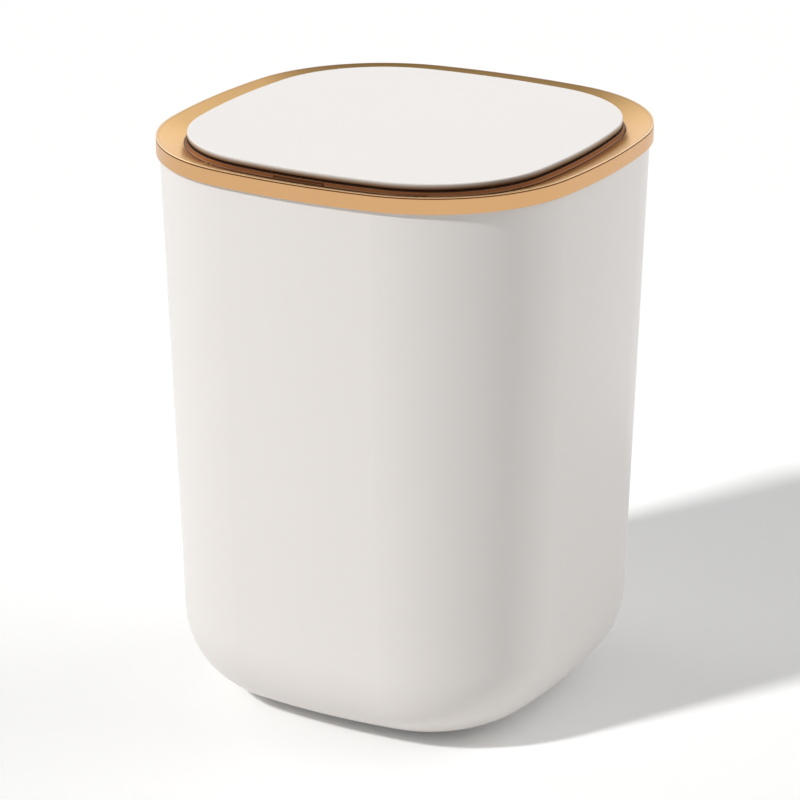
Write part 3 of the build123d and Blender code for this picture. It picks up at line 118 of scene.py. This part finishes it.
def tint(tree, colour, other, mask):
    # lays the other colour over the first one where the mask is 1
    mix = addNode(tree, "ShaderNodeMix", data_type="RGBA")
    tree.links.new(mask, mix.inputs["Factor"])
    for socket, value in ((mix.inputs[6], colour), (mix.inputs[7], other)):
        if isinstance(value, bpy.types.NodeSocket):
            tree.links.new(value, socket)
        else:
            socket.default_value = rgba(value)
    return mix.outputs[2]


def split(tree, vector):
    return fill(tree, addNode(tree, "ShaderNodeSeparateXYZ"), Vector=vector).outputs


def newGroup(name, inputs, outputs):
    group = bpy.data.node_groups.new(name, "ShaderNodeTree")
    for label, kind, value in inputs:
        socket = group.interface.new_socket(label, in_out="INPUT", socket_type=kind)
        if value is not None:
            socket.default_value = value
    for label, kind in outputs:
        group.interface.new_socket(label, in_out="OUTPUT", socket_type=kind)
    return group, group.nodes.new("NodeGroupInput"), group.nodes.new("NodeGroupOutput")


def rgba(colour):
    return (*colour, 1.0)


# Studio: soft lamps, a pale world and a pale floor
studioLamps = {
    "keyLamp": {"toLamp": (-0.491, -0.871), "height": 42, "softness": 5, "level": 0.726, "shine": False},
    "sideLamp": {"toLamp": (0.75, 0.66), "height": 25, "softness": 60, "level": 0.38, "shine": False},
    "leftLamp": {"toLamp": (-1.0, 0.1), "height": 30, "softness": 40, "level": 0.13, "shine": True},
    "backLamp": {"toLamp": (0.2, 0.98), "height": 25, "softness": 60, "level": 0.05, "shine": True},
    "topLamp": {"toLamp": (0.0, 0.1), "height": 88, "softness": 80, "level": 0.146, "shine": False},
}
studioLight = {
    "ambient": 0.09,
    "seen": 1.0,
    "ceilingFrom": 0.32,  # sine of the height at which the mirrored sky starts to darken
    "ceilingFull": 0.78,
    "ceilingShade": 0.84,
    "floorColour": (0.93, 0.93, 0.925),
    "floorLift": 0.10,
    "floorRadius": 7,
    "floorSides": 64,
}


def addLamp(name, toLamp, height, softness, level, shine):
    # level 1 lights a white surface that faces the lamp to plain white
    rise = math.radians(height)
    flat = Vector(toLamp).normalized() * math.cos(rise)
    direction = Vector((flat.x, flat.y, math.sin(rise)))
    bpy.ops.object.light_add(type="SUN", location=direction * 2)
    lamp = bpy.context.object
    lamp.name = name
    lamp.rotation_mode = "QUATERNION"
    lamp.rotation_quaternion = direction.to_track_quat("Z", "Y")
    lamp.data.angle = math.radians(softness)
    lamp.data.energy = level * math.pi
    lamp.visible_glossy = shine


def seenByEye(tree):
    # 1 for rays that come from the camera, a mirror-like surface or glass
    paths = tree.nodes.new("ShaderNodeLightPath").outputs
    direct = maths(tree, "MAXIMUM", paths["Is Camera Ray"], paths["Is Glossy Ray"])
    return maths(tree, "MAXIMUM", direct, paths["Is Transmission Ray"])


def makeWorld(settings):
    world = bpy.data.worlds.new("studioWorld")
    world.use_nodes = True
    bpy.context.scene.world = world
    tree = world.node_tree
    background = tree.nodes["Background"]
    background.inputs["Color"].default_value = rgba((1, 1, 1))
    strength = fill(
        tree, addNode(tree, "ShaderNodeMapRange"), Value=seenByEye(tree),
        To_Min=settings["ambient"], To_Max=settings["seen"],
    )
    # what metal mirrors is darker overhead, as under a plain ceiling
    height = split(tree, tree.nodes.new("ShaderNodeTexCoord").outputs["Generated"])["Z"]
    shade = ramp(tree, height, settings["ceilingFrom"], settings["ceilingFull"])
    shade = maths(tree, "MULTIPLY", shade, settings["ceilingShade"])
    mirrored = tree.nodes.new("ShaderNodeLightPath").outputs["Is Glossy Ray"]
    left = maths(tree, "SUBTRACT", 1.0, maths(tree, "MULTIPLY", shade, mirrored))
    tree.links.new(maths(tree, "MULTIPLY", strength.outputs["Result"], left), background.inputs["Strength"])


def makeFloor(settings):
    bpy.ops.mesh.primitive_circle_add(
        vertices=settings["floorSides"], radius=settings["floorRadius"], fill_type="NGON", location=(0, 0, 0)
    )
    floor = bpy.context.object
    floor.name = "studioFloor"
    material = bpy.data.materials.new("studioFloor")
    material.use_nodes = True
    tree = material.node_tree
    tree.nodes.clear()
    output = tree.nodes.new("ShaderNodeOutputMaterial")
    diffuse = fill(tree, addNode(tree, "ShaderNodeBsdfDiffuse"), Color=rgba(settings["floorColour"]))
    lift = maths(tree, "MULTIPLY", seenByEye(tree), settings["floorLift"])
    glow = fill(tree, addNode(tree, "ShaderNodeEmission"), Color=rgba((1, 1, 1)), Strength=lift)
    both = tree.nodes.new("ShaderNodeAddShader")
    tree.links.new(diffuse.outputs[0], both.inputs[0])
    tree.links.new(glow.outputs[0], both.inputs[1])
    tree.links.new(both.outputs[0], output.inputs["Surface"])
    floor.data.materials.append(material)


for lampName, lampSettings in studioLamps.items():
    addLamp(lampName, **lampSettings)
makeWorld(studioLight)
makeFloor(studioLight)
bpy.context.scene.view_settings.view_transform = "Standard"
print("studio ready")


# Noise inside the shared effects
noiseLook = {"driftDetail": 3.0, "grainDetail": 2.0, "lineDetail": 3.0, "metalDriftScale": 22.0}


# Shared effect: moulded plastic, a slow tone drift over fine grain
def makeMouldGroup():
    group, given, result = newGroup(
        "mouldedPlastic",
        [
            ("Vector", "NodeSocketVector", None),
            ("Main Colour", "NodeSocketColor", rgba((0.8, 0.8, 0.8))),
            ("Drift Colour", "NodeSocketColor", rgba((0.78, 0.78, 0.78))),
            ("Drift Scale", "NodeSocketFloat", 9.0),
            ("Grain Scale", "NodeSocketFloat", 900.0),
            ("Low Roughness", "NodeSocketFloat", 0.3),
            ("High Roughness", "NodeSocketFloat", 0.36),
        ],
        [("Color", "NodeSocketColor"), ("Roughness", "NodeSocketFloat"), ("Height", "NodeSocketFloat")],
    )
    place = given.outputs["Vector"]
    drift = fill(
        group, addNode(group, "ShaderNodeTexNoise"), Vector=place, Scale=given.outputs["Drift Scale"],
        Detail=noiseLook["driftDetail"],
    )
    grain = fill(
        group, addNode(group, "ShaderNodeTexNoise"), Vector=place, Scale=given.outputs["Grain Scale"],
        Detail=noiseLook["grainDetail"],
    )
    colour = addNode(group, "ShaderNodeMix", data_type="RGBA")
    group.links.new(drift.outputs["Fac"], colour.inputs["Factor"])
    group.links.new(given.outputs["Main Colour"], colour.inputs[6])
    group.links.new(given.outputs["Drift Colour"], colour.inputs[7])
    rough = fill(
        group, addNode(group, "ShaderNodeMapRange"), Value=grain.outputs["Fac"],
        To_Min=given.outputs["Low Roughness"], To_Max=given.outputs["High Roughness"],
    )
    group.links.new(colour.outputs[2], result.inputs["Color"])
    group.links.new(rough.outputs["Result"], result.inputs["Roughness"])
    group.links.new(grain.outputs["Fac"], result.inputs["Height"])
    return group


# Shared effect: drawn or turned metal, fine lines along one axis over a slow drift
def makeMetalGroup():
    group, given, result = newGroup(
        "workedMetal",
        [
            ("Vector", "NodeSocketVector", None),
            ("Main Colour", "NodeSocketColor", rgba((0.6, 0.6, 0.6))),
            ("Drift Colour", "NodeSocketColor", rgba((0.5, 0.5, 0.5))),
            ("Stretch", "NodeSocketVector", (1.0, 1.0, 1.0)),
            ("Line Scale", "NodeSocketFloat", 400.0),
            ("Low Roughness", "NodeSocketFloat", 0.1),
            ("High Roughness", "NodeSocketFloat", 0.2),
        ],
        [("Color", "NodeSocketColor"), ("Roughness", "NodeSocketFloat"), ("Height", "NodeSocketFloat")],
    )
    place = addNode(group, "ShaderNodeVectorMath", operation="MULTIPLY")
    group.links.new(given.outputs["Vector"], place.inputs[0])
    group.links.new(given.outputs["Stretch"], place.inputs[1])
    lines = fill(
        group, addNode(group, "ShaderNodeTexNoise"), Vector=place.outputs[0],
        Scale=given.outputs["Line Scale"], Detail=noiseLook["lineDetail"],
    )
    drift = fill(
        group, addNode(group, "ShaderNodeTexNoise"), Vector=given.outputs["Vector"],
        Scale=noiseLook["metalDriftScale"],
    )
    colour = addNode(group, "ShaderNodeMix", data_type="RGBA")
    group.links.new(drift.outputs["Fac"], colour.inputs["Factor"])
    group.links.new(given.outputs["Main Colour"], colour.inputs[6])
    group.links.new(given.outputs["Drift Colour"], colour.inputs[7])
    rough = fill(
        group, addNode(group, "ShaderNodeMapRange"), Value=lines.outputs["Fac"],
        To_Min=given.outputs["Low Roughness"], To_Max=given.outputs["High Roughness"],
    )
    group.links.new(colour.outputs[2], result.inputs["Color"])
    group.links.new(rough.outputs["Result"], result.inputs["Roughness"])
    group.links.new(lines.outputs["Fac"], result.inputs["Height"])
    return group


# Plan of the rim in metres: four bowed sides joined by four round corners
rimPlan = {"halfWidth": 0.110, "sideRadius": 0.322, "cornerRadius": 0.077, "cornerCentre": 0.031031}


# Shared effect: how far a point lies inside the rim's plan outline
def makeInsetGroup(plan):
    group, given, result = newGroup(
        "rimInset", [("Vector", "NodeSocketVector", None)], [("Inset", "NodeSocketFloat")]
    )
    sideCentre = plan["halfWidth"] - plan["sideRadius"]
    folded = addNode(group, "ShaderNodeVectorMath", operation="ABSOLUTE")
    group.links.new(given.outputs["Vector"], folded.inputs[0])
    axes = split(group, folded.outputs[0])
    high = maths(group, "MAXIMUM", axes["X"], axes["Y"])
    low = maths(group, "MINIMUM", axes["X"], axes["Y"])
    spot = fill(group, addNode(group, "ShaderNodeCombineXYZ"), X=low, Y=high)
    reaches = []
    for centre, radius in (
        ((0, sideCentre, 0), plan["sideRadius"]),
        ((plan["cornerCentre"], plan["cornerCentre"], 0), plan["cornerRadius"]),
    ):
        away = addNode(group, "ShaderNodeVectorMath", operation="DISTANCE")
        group.links.new(spot.outputs[0], away.inputs[0])
        away.inputs[1].default_value = centre
        reaches.append(maths(group, "SUBTRACT", radius, away.outputs["Value"]))
    lowReach = maths(group, "MULTIPLY", low, (plan["cornerCentre"] - sideCentre) / plan["cornerCentre"])
    inCorner = maths(group, "GREATER_THAN", lowReach, maths(group, "SUBTRACT", high, sideCentre))
    inset = addNode(group, "ShaderNodeMix", data_type="FLOAT")
    group.links.new(inCorner, inset.inputs["Factor"])
    group.links.new(reaches[0], inset.inputs["A"])
    group.links.new(reaches[1], inset.inputs["B"])
    group.links.new(inset.outputs["Result"], result.inputs["Inset"])
    return group


mouldGroup = makeMouldGroup()
metalGroup = makeMetalGroup()
insetGroup = makeInsetGroup(rimPlan)


def startMaterial(name):
    material = bpy.data.materials.new(name)
    material.use_nodes = True
    tree = material.node_tree
    shader = tree.nodes["Principled BSDF"]
    place = tree.nodes.new("ShaderNodeTexCoord").outputs["Object"]
    return material, tree, shader, place


def openMaterial(material):
    # what a finish's own pattern is laid over: its tree, shader, colour and place
    tree = material.node_tree
    shader = tree.nodes["Principled BSDF"]
    colour = shader.inputs["Base Color"].links[0].from_socket
    place = tree.nodes.new("ShaderNodeTexCoord").outputs["Object"]
    return tree, shader, colour, place


def rimPlace(tree, place):
    # height, and distance inside the rim's outline
    group = fill(tree, addNode(tree, "ShaderNodeGroup", node_tree=insetGroup), Vector=place)
    return split(tree, place)["Z"], group.outputs["Inset"]


def addBump(tree, shader, height, depth):
    bump = addNode(tree, "ShaderNodeBump")
    bump.inputs["Distance"].default_value = depth
    bump.inputs["Strength"].default_value = 1.0
    tree.links.new(height, bump.inputs["Height"])
    tree.links.new(bump.outputs["Normal"], shader.inputs["Normal"])


def placeGroup(tree, group, place, **values):
    node = addNode(tree, "ShaderNodeGroup", node_tree=group)
    tree.links.new(place, node.inputs["Vector"])
    return fill(tree, node, **values)


def plasticMaterial(name, main, drift, rough, grain=900.0, depth=0.00001, driftScale=9.0, **constants):
    material, tree, shader, place = startMaterial(name)
    effect = placeGroup(
        tree, mouldGroup, place, Main_Colour=rgba(main), Drift_Colour=rgba(drift), Drift_Scale=driftScale,
        Grain_Scale=grain, Low_Roughness=rough[0], High_Roughness=rough[1],
    )
    fill(tree, shader, Base_Color=effect.outputs["Color"], Roughness=effect.outputs["Roughness"], **constants)
    addBump(tree, shader, effect.outputs["Height"], depth)
    return material


def metalMaterial(name, main, drift, rough, stretch=(1, 1, 1), lines=400.0, depth=0.000004, **constants):
    material, tree, shader, place = startMaterial(name)
    effect = placeGroup(
        tree, metalGroup, place, Main_Colour=rgba(main), Drift_Colour=rgba(drift), Stretch=stretch,
        Line_Scale=lines, Low_Roughness=rough[0], High_Roughness=rough[1],
    )
    fill(
        tree, shader, Base_Color=effect.outputs["Color"], Roughness=effect.outputs["Roughness"], Metallic=1.0,
        **constants,
    )
    addBump(tree, shader, effect.outputs["Height"], depth)
    return material


# Plated ring: satin band and funnel, the funnel lightened as a painted highlight; a painted highlight on the
# lip over painted shade in the groove; painted shade browns the collar and darkens its foot further
ringLook = {
    "gold": (0.70, 0.415, 0.198),
    "goldDrift": (0.68, 0.395, 0.185),
    "grain": 0.000001,
    # painted highlight: the funnel, the ring's top face, is coloured lighter than the band for the light it
    # catches
    "funnel": (0.98, 0.595, 0.225),
    "funnelFrom": 0.0006,
    "funnelFull": 0.0020,
    "roughness": (0.30, 0.36),
    # painted highlight: a pale line along the lip
    "lipHighlight": (0.95, 0.64, 0.35),
    "lipInset": 0.0013,
    "lipFull": 0.00078,
    "lipBlur": 0.0002,
    # painted shade: the dark line in the groove under the lip
    "grooveShade": (0.20, 0.08, 0.03),
    "grooveTop": 0.2853,
    "grooveFoot": 0.2846,
    "grooveInset": 0.0007,
    "grooveFull": 0.0005,
    "grooveBlur": 0.0001,
    # painted shade: the collar's brown colour stands in for the dark it mirrors
    "collar": (0.37, 0.175, 0.085),
    "collarFoot": 0.0126,
    "collarFull": 0.0139,
    "collarRoughness": 0.5,
    # painted shade: darker still at the collar's foot
    "foot": (0.13, 0.06, 0.028),
    "footFrom": 0.0131,
    "footTo": 0.0140,
    "footBlur": 0.0003,
}


def ringMaterial(look):
    material = metalMaterial(
        "platedGold", look["gold"], look["goldDrift"], look["roughness"], depth=look["grain"]
    )
    tree, shader, colour, place = openMaterial(material)
    height, inset = rimPlace(tree, place)
    # painted highlight on the funnel
    colour = tint(tree, colour, look["funnel"], ramp(tree, inset, look["funnelFrom"], look["funnelFull"]))
    # painted highlight on the lip
    onLipHighlight = maths(
        tree, "MULTIPLY", ramp(tree, inset, look["lipInset"], look["lipFull"]),
        ramp(tree, height, look["grooveTop"], look["grooveTop"] + look["lipBlur"]),
    )
    colour = tint(tree, colour, look["lipHighlight"], onLipHighlight)
    # painted shade in the groove
    inGrooveShade = maths(
        tree, "MULTIPLY", ramp(tree, height, look["grooveFoot"], look["grooveFoot"] + look["grooveBlur"]),
        ramp(tree, height, look["grooveTop"], look["grooveTop"] - look["grooveBlur"]),
    )
    inGrooveShade = maths(tree, "MULTIPLY", inGrooveShade, ramp(tree, inset, look["grooveInset"], look["grooveFull"]))
    colour = tint(tree, colour, look["grooveShade"], inGrooveShade)
    # painted shade on the collar, which also gets a rougher finish
    onCollarShade = ramp(tree, inset, look["collarFoot"], look["collarFull"])
    colour = tint(tree, colour, look["collar"], onCollarShade)
    # painted shade at the collar's foot
    onFootShade = maths(
        tree, "MULTIPLY", ramp(tree, inset, look["footFrom"], look["footFrom"] + look["footBlur"]),
        ramp(tree, inset, look["footTo"], look["footTo"] - look["footBlur"]),
    )
    tree.links.new(tint(tree, colour, look["foot"], onFootShade), shader.inputs["Base Color"])
    rough = shader.inputs["Roughness"].links[0].from_socket
    rough = maths(tree, "MAXIMUM", rough, maths(tree, "MULTIPLY", onCollarShade, look["collarRoughness"]))
    tree.links.new(rough, shader.inputs["Roughness"])
    return material


# Lid: white top; painted shade turns its edge to a warm brown towards the seal
lidLook = {
    "white": (0.905, 0.87, 0.84),
    "whiteDrift": (0.89, 0.855, 0.825),
    "roughness": (0.32, 0.38),
    # painted shade: the warm brown of the lid's lower edge
    "edge": (0.22, 0.125, 0.07),
    "edgeTop": 0.2874,
    "edgeFoot": 0.2851,
    "edgeInset": 0.0165,
    "edgeFull": 0.0160,
}


def lidMaterial(look):
    material = plasticMaterial("lidWhite", look["white"], look["whiteDrift"], look["roughness"])
    tree, shader, colour, place = openMaterial(material)
    height, inset = rimPlace(tree, place)
    # painted shade on the lid's edge, by height and by distance inside the outline
    onEdgeShade = maths(
        tree, "MULTIPLY", ramp(tree, height, look["edgeTop"], look["edgeFoot"]),
        ramp(tree, inset, look["edgeInset"], look["edgeFull"]),
    )
    tree.links.new(tint(tree, colour, look["edge"], onEdgeShade), shader.inputs["Base Color"])
    return material


# Circuit board: paler copper tracks under the green
circuitLook = {
    "green": (0.012, 0.11, 0.035),
    "greenDrift": (0.02, 0.14, 0.05),
    "roughness": (0.2, 0.3),
    "driftScale": 180,
    "track": (0.05, 0.26, 0.09),
    "trackWidth": 0.00022,
    "trackBlur": 0.2,
    "runLength": 0.0052,
    "runPitch": 0.0013,
}


def circuitMaterial(look):
    material = plasticMaterial(
        "circuitGreen", look["green"], look["greenDrift"], look["roughness"], driftScale=look["driftScale"]
    )
    tree, shader, colour, place = openMaterial(material)
    tracks = fill(
        tree, addNode(tree, "ShaderNodeTexBrick"), Vector=place, Scale=1.0, Mortar_Size=look["trackWidth"],
        Mortar_Smooth=look["trackBlur"], Brick_Width=look["runLength"], Row_Height=look["runPitch"],
    )
    tree.links.new(tint(tree, colour, look["track"], tracks.outputs["Fac"]), shader.inputs["Base Color"])
    return material


# Cells: a blue wrap with a pale band, bare metal ends
cellLook = {
    "wrap": (0.03, 0.10, 0.24),
    "wrapDrift": (0.035, 0.12, 0.28),
    "roughness": (0.22, 0.3),
    "wrapHalf": 0.0238,
    "bandFrom": 0.0150,
    "bandTo": 0.0158,
    "band": (0.62, 0.62, 0.6),
    "metal": (0.6, 0.58, 0.54),
    "blur": 0.0001,
}


def cellMaterial(look):
    material = plasticMaterial("cellWrap", look["wrap"], look["wrapDrift"], look["roughness"])
    tree, shader, colour, place = openMaterial(material)
    low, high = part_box("battery_cells")
    along = maths(tree, "SUBTRACT", split(tree, place)["X"], (low[0] + high[0]) / 2)
    reach = maths(tree, "ABSOLUTE", along, 0.0)
    onBand = maths(
        tree, "MULTIPLY", ramp(tree, reach, look["bandFrom"], look["bandFrom"] + look["blur"]),
        ramp(tree, reach, look["bandTo"] + look["blur"], look["bandTo"]),
    )
    bare = ramp(tree, reach, look["wrapHalf"], look["wrapHalf"] + look["blur"])
    colour = tint(tree, tint(tree, colour, look["band"], onBand), look["metal"], bare)
    tree.links.new(colour, shader.inputs["Base Color"])
    tree.links.new(bare, shader.inputs["Metallic"])
    return material


# Lead pair: one red, one black, side by side across Y
pairLook = {
    "red": (0.42, 0.02, 0.015),
    "redDrift": (0.36, 0.015, 0.012),
    "roughness": (0.35, 0.45),
    "black": (0.015, 0.015, 0.016),
    "blur": 0.0001,
}


def pairMaterial(nodeName, look):
    material = plasticMaterial("leadPair", look["red"], look["redDrift"], look["roughness"])
    tree, shader, colour, place = openMaterial(material)
    low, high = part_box(nodeName)
    middle = (low[1] + high[1]) / 2
    rear = ramp(tree, split(tree, place)["Y"], middle, middle + look["blur"])
    tree.links.new(tint(tree, colour, look["black"], rear), shader.inputs["Base Color"])
    return material


finishes = {
    "white_plastic": plasticMaterial("tubWhite", (0.805, 0.767, 0.738), (0.79, 0.752, 0.723), (0.30, 0.36)),
    "lid_white": lidMaterial(lidLook),
    "plated_gold": ringMaterial(ringLook),
    "frame_plastic": plasticMaterial(
        "frameGrey", (0.62, 0.61, 0.60), (0.59, 0.58, 0.57), (0.42, 0.52), grain=1400
    ),
    "dark_plastic": plasticMaterial(
        "darkPlastic", (0.035, 0.032, 0.03), (0.045, 0.042, 0.04), (0.38, 0.5), grain=1200
    ),
    "sensor_tint": plasticMaterial(
        "sensorTint", (0.05, 0.016, 0.007), (0.06, 0.02, 0.009), (0.14, 0.2), Specular_IOR_Level=0.2
    ),
    "seal_brown": plasticMaterial(
        "sealBrown", (0.022, 0.006, 0.003), (0.03, 0.009, 0.004), (0.55, 0.7), grain=1600
    ),
    "rubber_dark": plasticMaterial(
        "darkRubber", (0.03, 0.03, 0.03), (0.045, 0.043, 0.04), (0.65, 0.8), grain=1600
    ),
    "rubber_clear": plasticMaterial("clearRubber", (0.62, 0.62, 0.60), (0.56, 0.56, 0.54), (0.35, 0.45)),
    "steel": metalMaterial("zincSteel", (0.56, 0.56, 0.57), (0.48, 0.48, 0.5), (0.22, 0.34)),
    "gear_nylon": plasticMaterial("gearNylon", (0.76, 0.73, 0.62), (0.72, 0.69, 0.58), (0.35, 0.45)),
    "circuit_green": circuitMaterial(circuitLook),
    "ir_clear": plasticMaterial("clearLens", (0.62, 0.68, 0.74), (0.55, 0.62, 0.7), (0.05, 0.1)),
    "ir_dark": plasticMaterial("darkLens", (0.012, 0.008, 0.014), (0.02, 0.012, 0.02), (0.05, 0.1)),
    "led_red": plasticMaterial("redLens", (0.5, 0.02, 0.012), (0.42, 0.015, 0.01), (0.1, 0.16)),
    "cell_wrap": cellMaterial(cellLook),
    "can_sleeve": plasticMaterial("canSleeve", (0.02, 0.05, 0.12), (0.025, 0.06, 0.14), (0.25, 0.32)),
    "lead_pair": pairMaterial("battery_leads", pairLook),
    "slat_dark": plasticMaterial(
        "slatDark", (0.20, 0.085, 0.038), (0.22, 0.095, 0.045), (0.3, 0.38), Specular_IOR_Level=0.3
    ),
    "contact_nickel": metalMaterial("nickel", (0.66, 0.62, 0.55), (0.6, 0.56, 0.5), (0.15, 0.25)),
    "brass_pinion": metalMaterial("brass", (0.72, 0.50, 0.20), (0.66, 0.44, 0.17), (0.18, 0.28)),
    "lead_grey": plasticMaterial("leadGrey", (0.10, 0.10, 0.105), (0.12, 0.12, 0.125), (0.4, 0.5)),
}
# Nodes whose finish differs from their slot's
ownFinish = {"lid_seal": "seal_brown", "board_capacitor": "can_sleeve", "battery_leads": "lead_pair"}
slotOfNode = {part["node"]: part["material_slot"] for part in frame["record"]["subparts"]}
for nodeName, slotName in slotOfNode.items():
    nodes[nodeName].data.materials.clear()
    nodes[nodeName].data.materials.append(finishes[ownFinish.get(nodeName, slotName)])
print("finishes given to", len(slotOfNode), "nodes")


# New pieces
smoothAngle = 35  # degrees, sharper edges stay crisp


def startEdit():
    bpy.ops.object.mode_set(mode="EDIT")
    bpy.ops.mesh.select_mode(type="FACE")


def settlePiece(name, body, slotNames):
    bpy.ops.object.mode_set(mode="OBJECT")
    bpy.ops.object.transform_apply(location=True, rotation=True, scale=True)
    bpy.ops.object.shade_smooth_by_angle(angle=math.radians(smoothAngle))
    piece = bpy.context.object
    piece.name = name
    piece.data.name = name
    for slotName in slotNames:
        piece.data.materials.append(finishes[slotName])
    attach(piece, body)
    bpy.ops.object.select_all(action="DESELECT")
    return piece


def joinPieces(pieces, name):
    bpy.ops.object.select_all(action="DESELECT")
    for piece in pieces:
        piece.select_set(True)
    bpy.context.view_layer.objects.active = pieces[0]
    bpy.ops.object.join()
    pieces[0].name = name
    pieces[0].data.name = name
    bpy.ops.object.select_all(action="DESELECT")
    return pieces[0]


# Thin slats across the sensor window, bowed with the collar
slatLook = {
    "firstHeight": 0.28175, "pitch": 0.0006, "count": 2, "endGap": 0.0004, "tall": 0.00028, "deep": 0.0006,
    "inset": 0.01405, "steps": 16, "edge": 0.00006, "edgeSegments": 2, "sharpAngle": 60, "merge": 0.000001,
}
windowLow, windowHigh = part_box("sensor_window")


def makeSlat(look, plan, height):
    bowCentre = (0, plan["sideRadius"] - plan["halfWidth"], height)
    reach = plan["sideRadius"] - look["inset"]
    leftTurn = math.asin((windowLow[0] + look["endGap"]) / reach)
    wholeTurn = math.asin((windowHigh[0] - look["endGap"]) / reach) - leftTurn
    start = (reach * math.sin(leftTurn), bowCentre[1] - reach * math.cos(leftTurn), height)
    bpy.ops.mesh.primitive_plane_add(size=1, location=start, rotation=(0, math.pi / 2, leftTurn))
    startEdit()
    bpy.ops.transform.resize(value=(look["deep"], look["deep"], look["tall"]), center_override=start)
    bpy.ops.mesh.spin(steps=look["steps"], angle=-wholeTurn, center=bowCentre, axis=(0, 0, 1))
    bpy.ops.mesh.select_all(action="SELECT")
    bpy.ops.mesh.remove_doubles(threshold=look["merge"])
    bpy.ops.mesh.select_mode(type="EDGE")
    bpy.ops.mesh.select_all(action="DESELECT")
    bpy.ops.mesh.select_non_manifold()
    bpy.ops.mesh.fill_holes(sides=4)
    bpy.ops.mesh.select_all(action="SELECT")
    bpy.ops.mesh.normals_make_consistent(inside=False)
    bpy.ops.mesh.select_all(action="DESELECT")
    bpy.ops.mesh.edges_select_sharp(sharpness=math.radians(look["sharpAngle"]))
    bpy.ops.mesh.bevel(offset=look["edge"], segments=look["edgeSegments"])
    return settlePiece("windowSlat", "head", ["slat_dark"])


slats = []
for row in range(slatLook["count"]):
    slats.append(makeSlat(slatLook, rimPlan, slatLook["firstHeight"] + row * slatLook["pitch"]))
windowSlats = joinPieces(slats, "windowSlats")
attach(windowSlats, "head")
print("window slats done:", len(windowSlats.data.polygons), "faces")
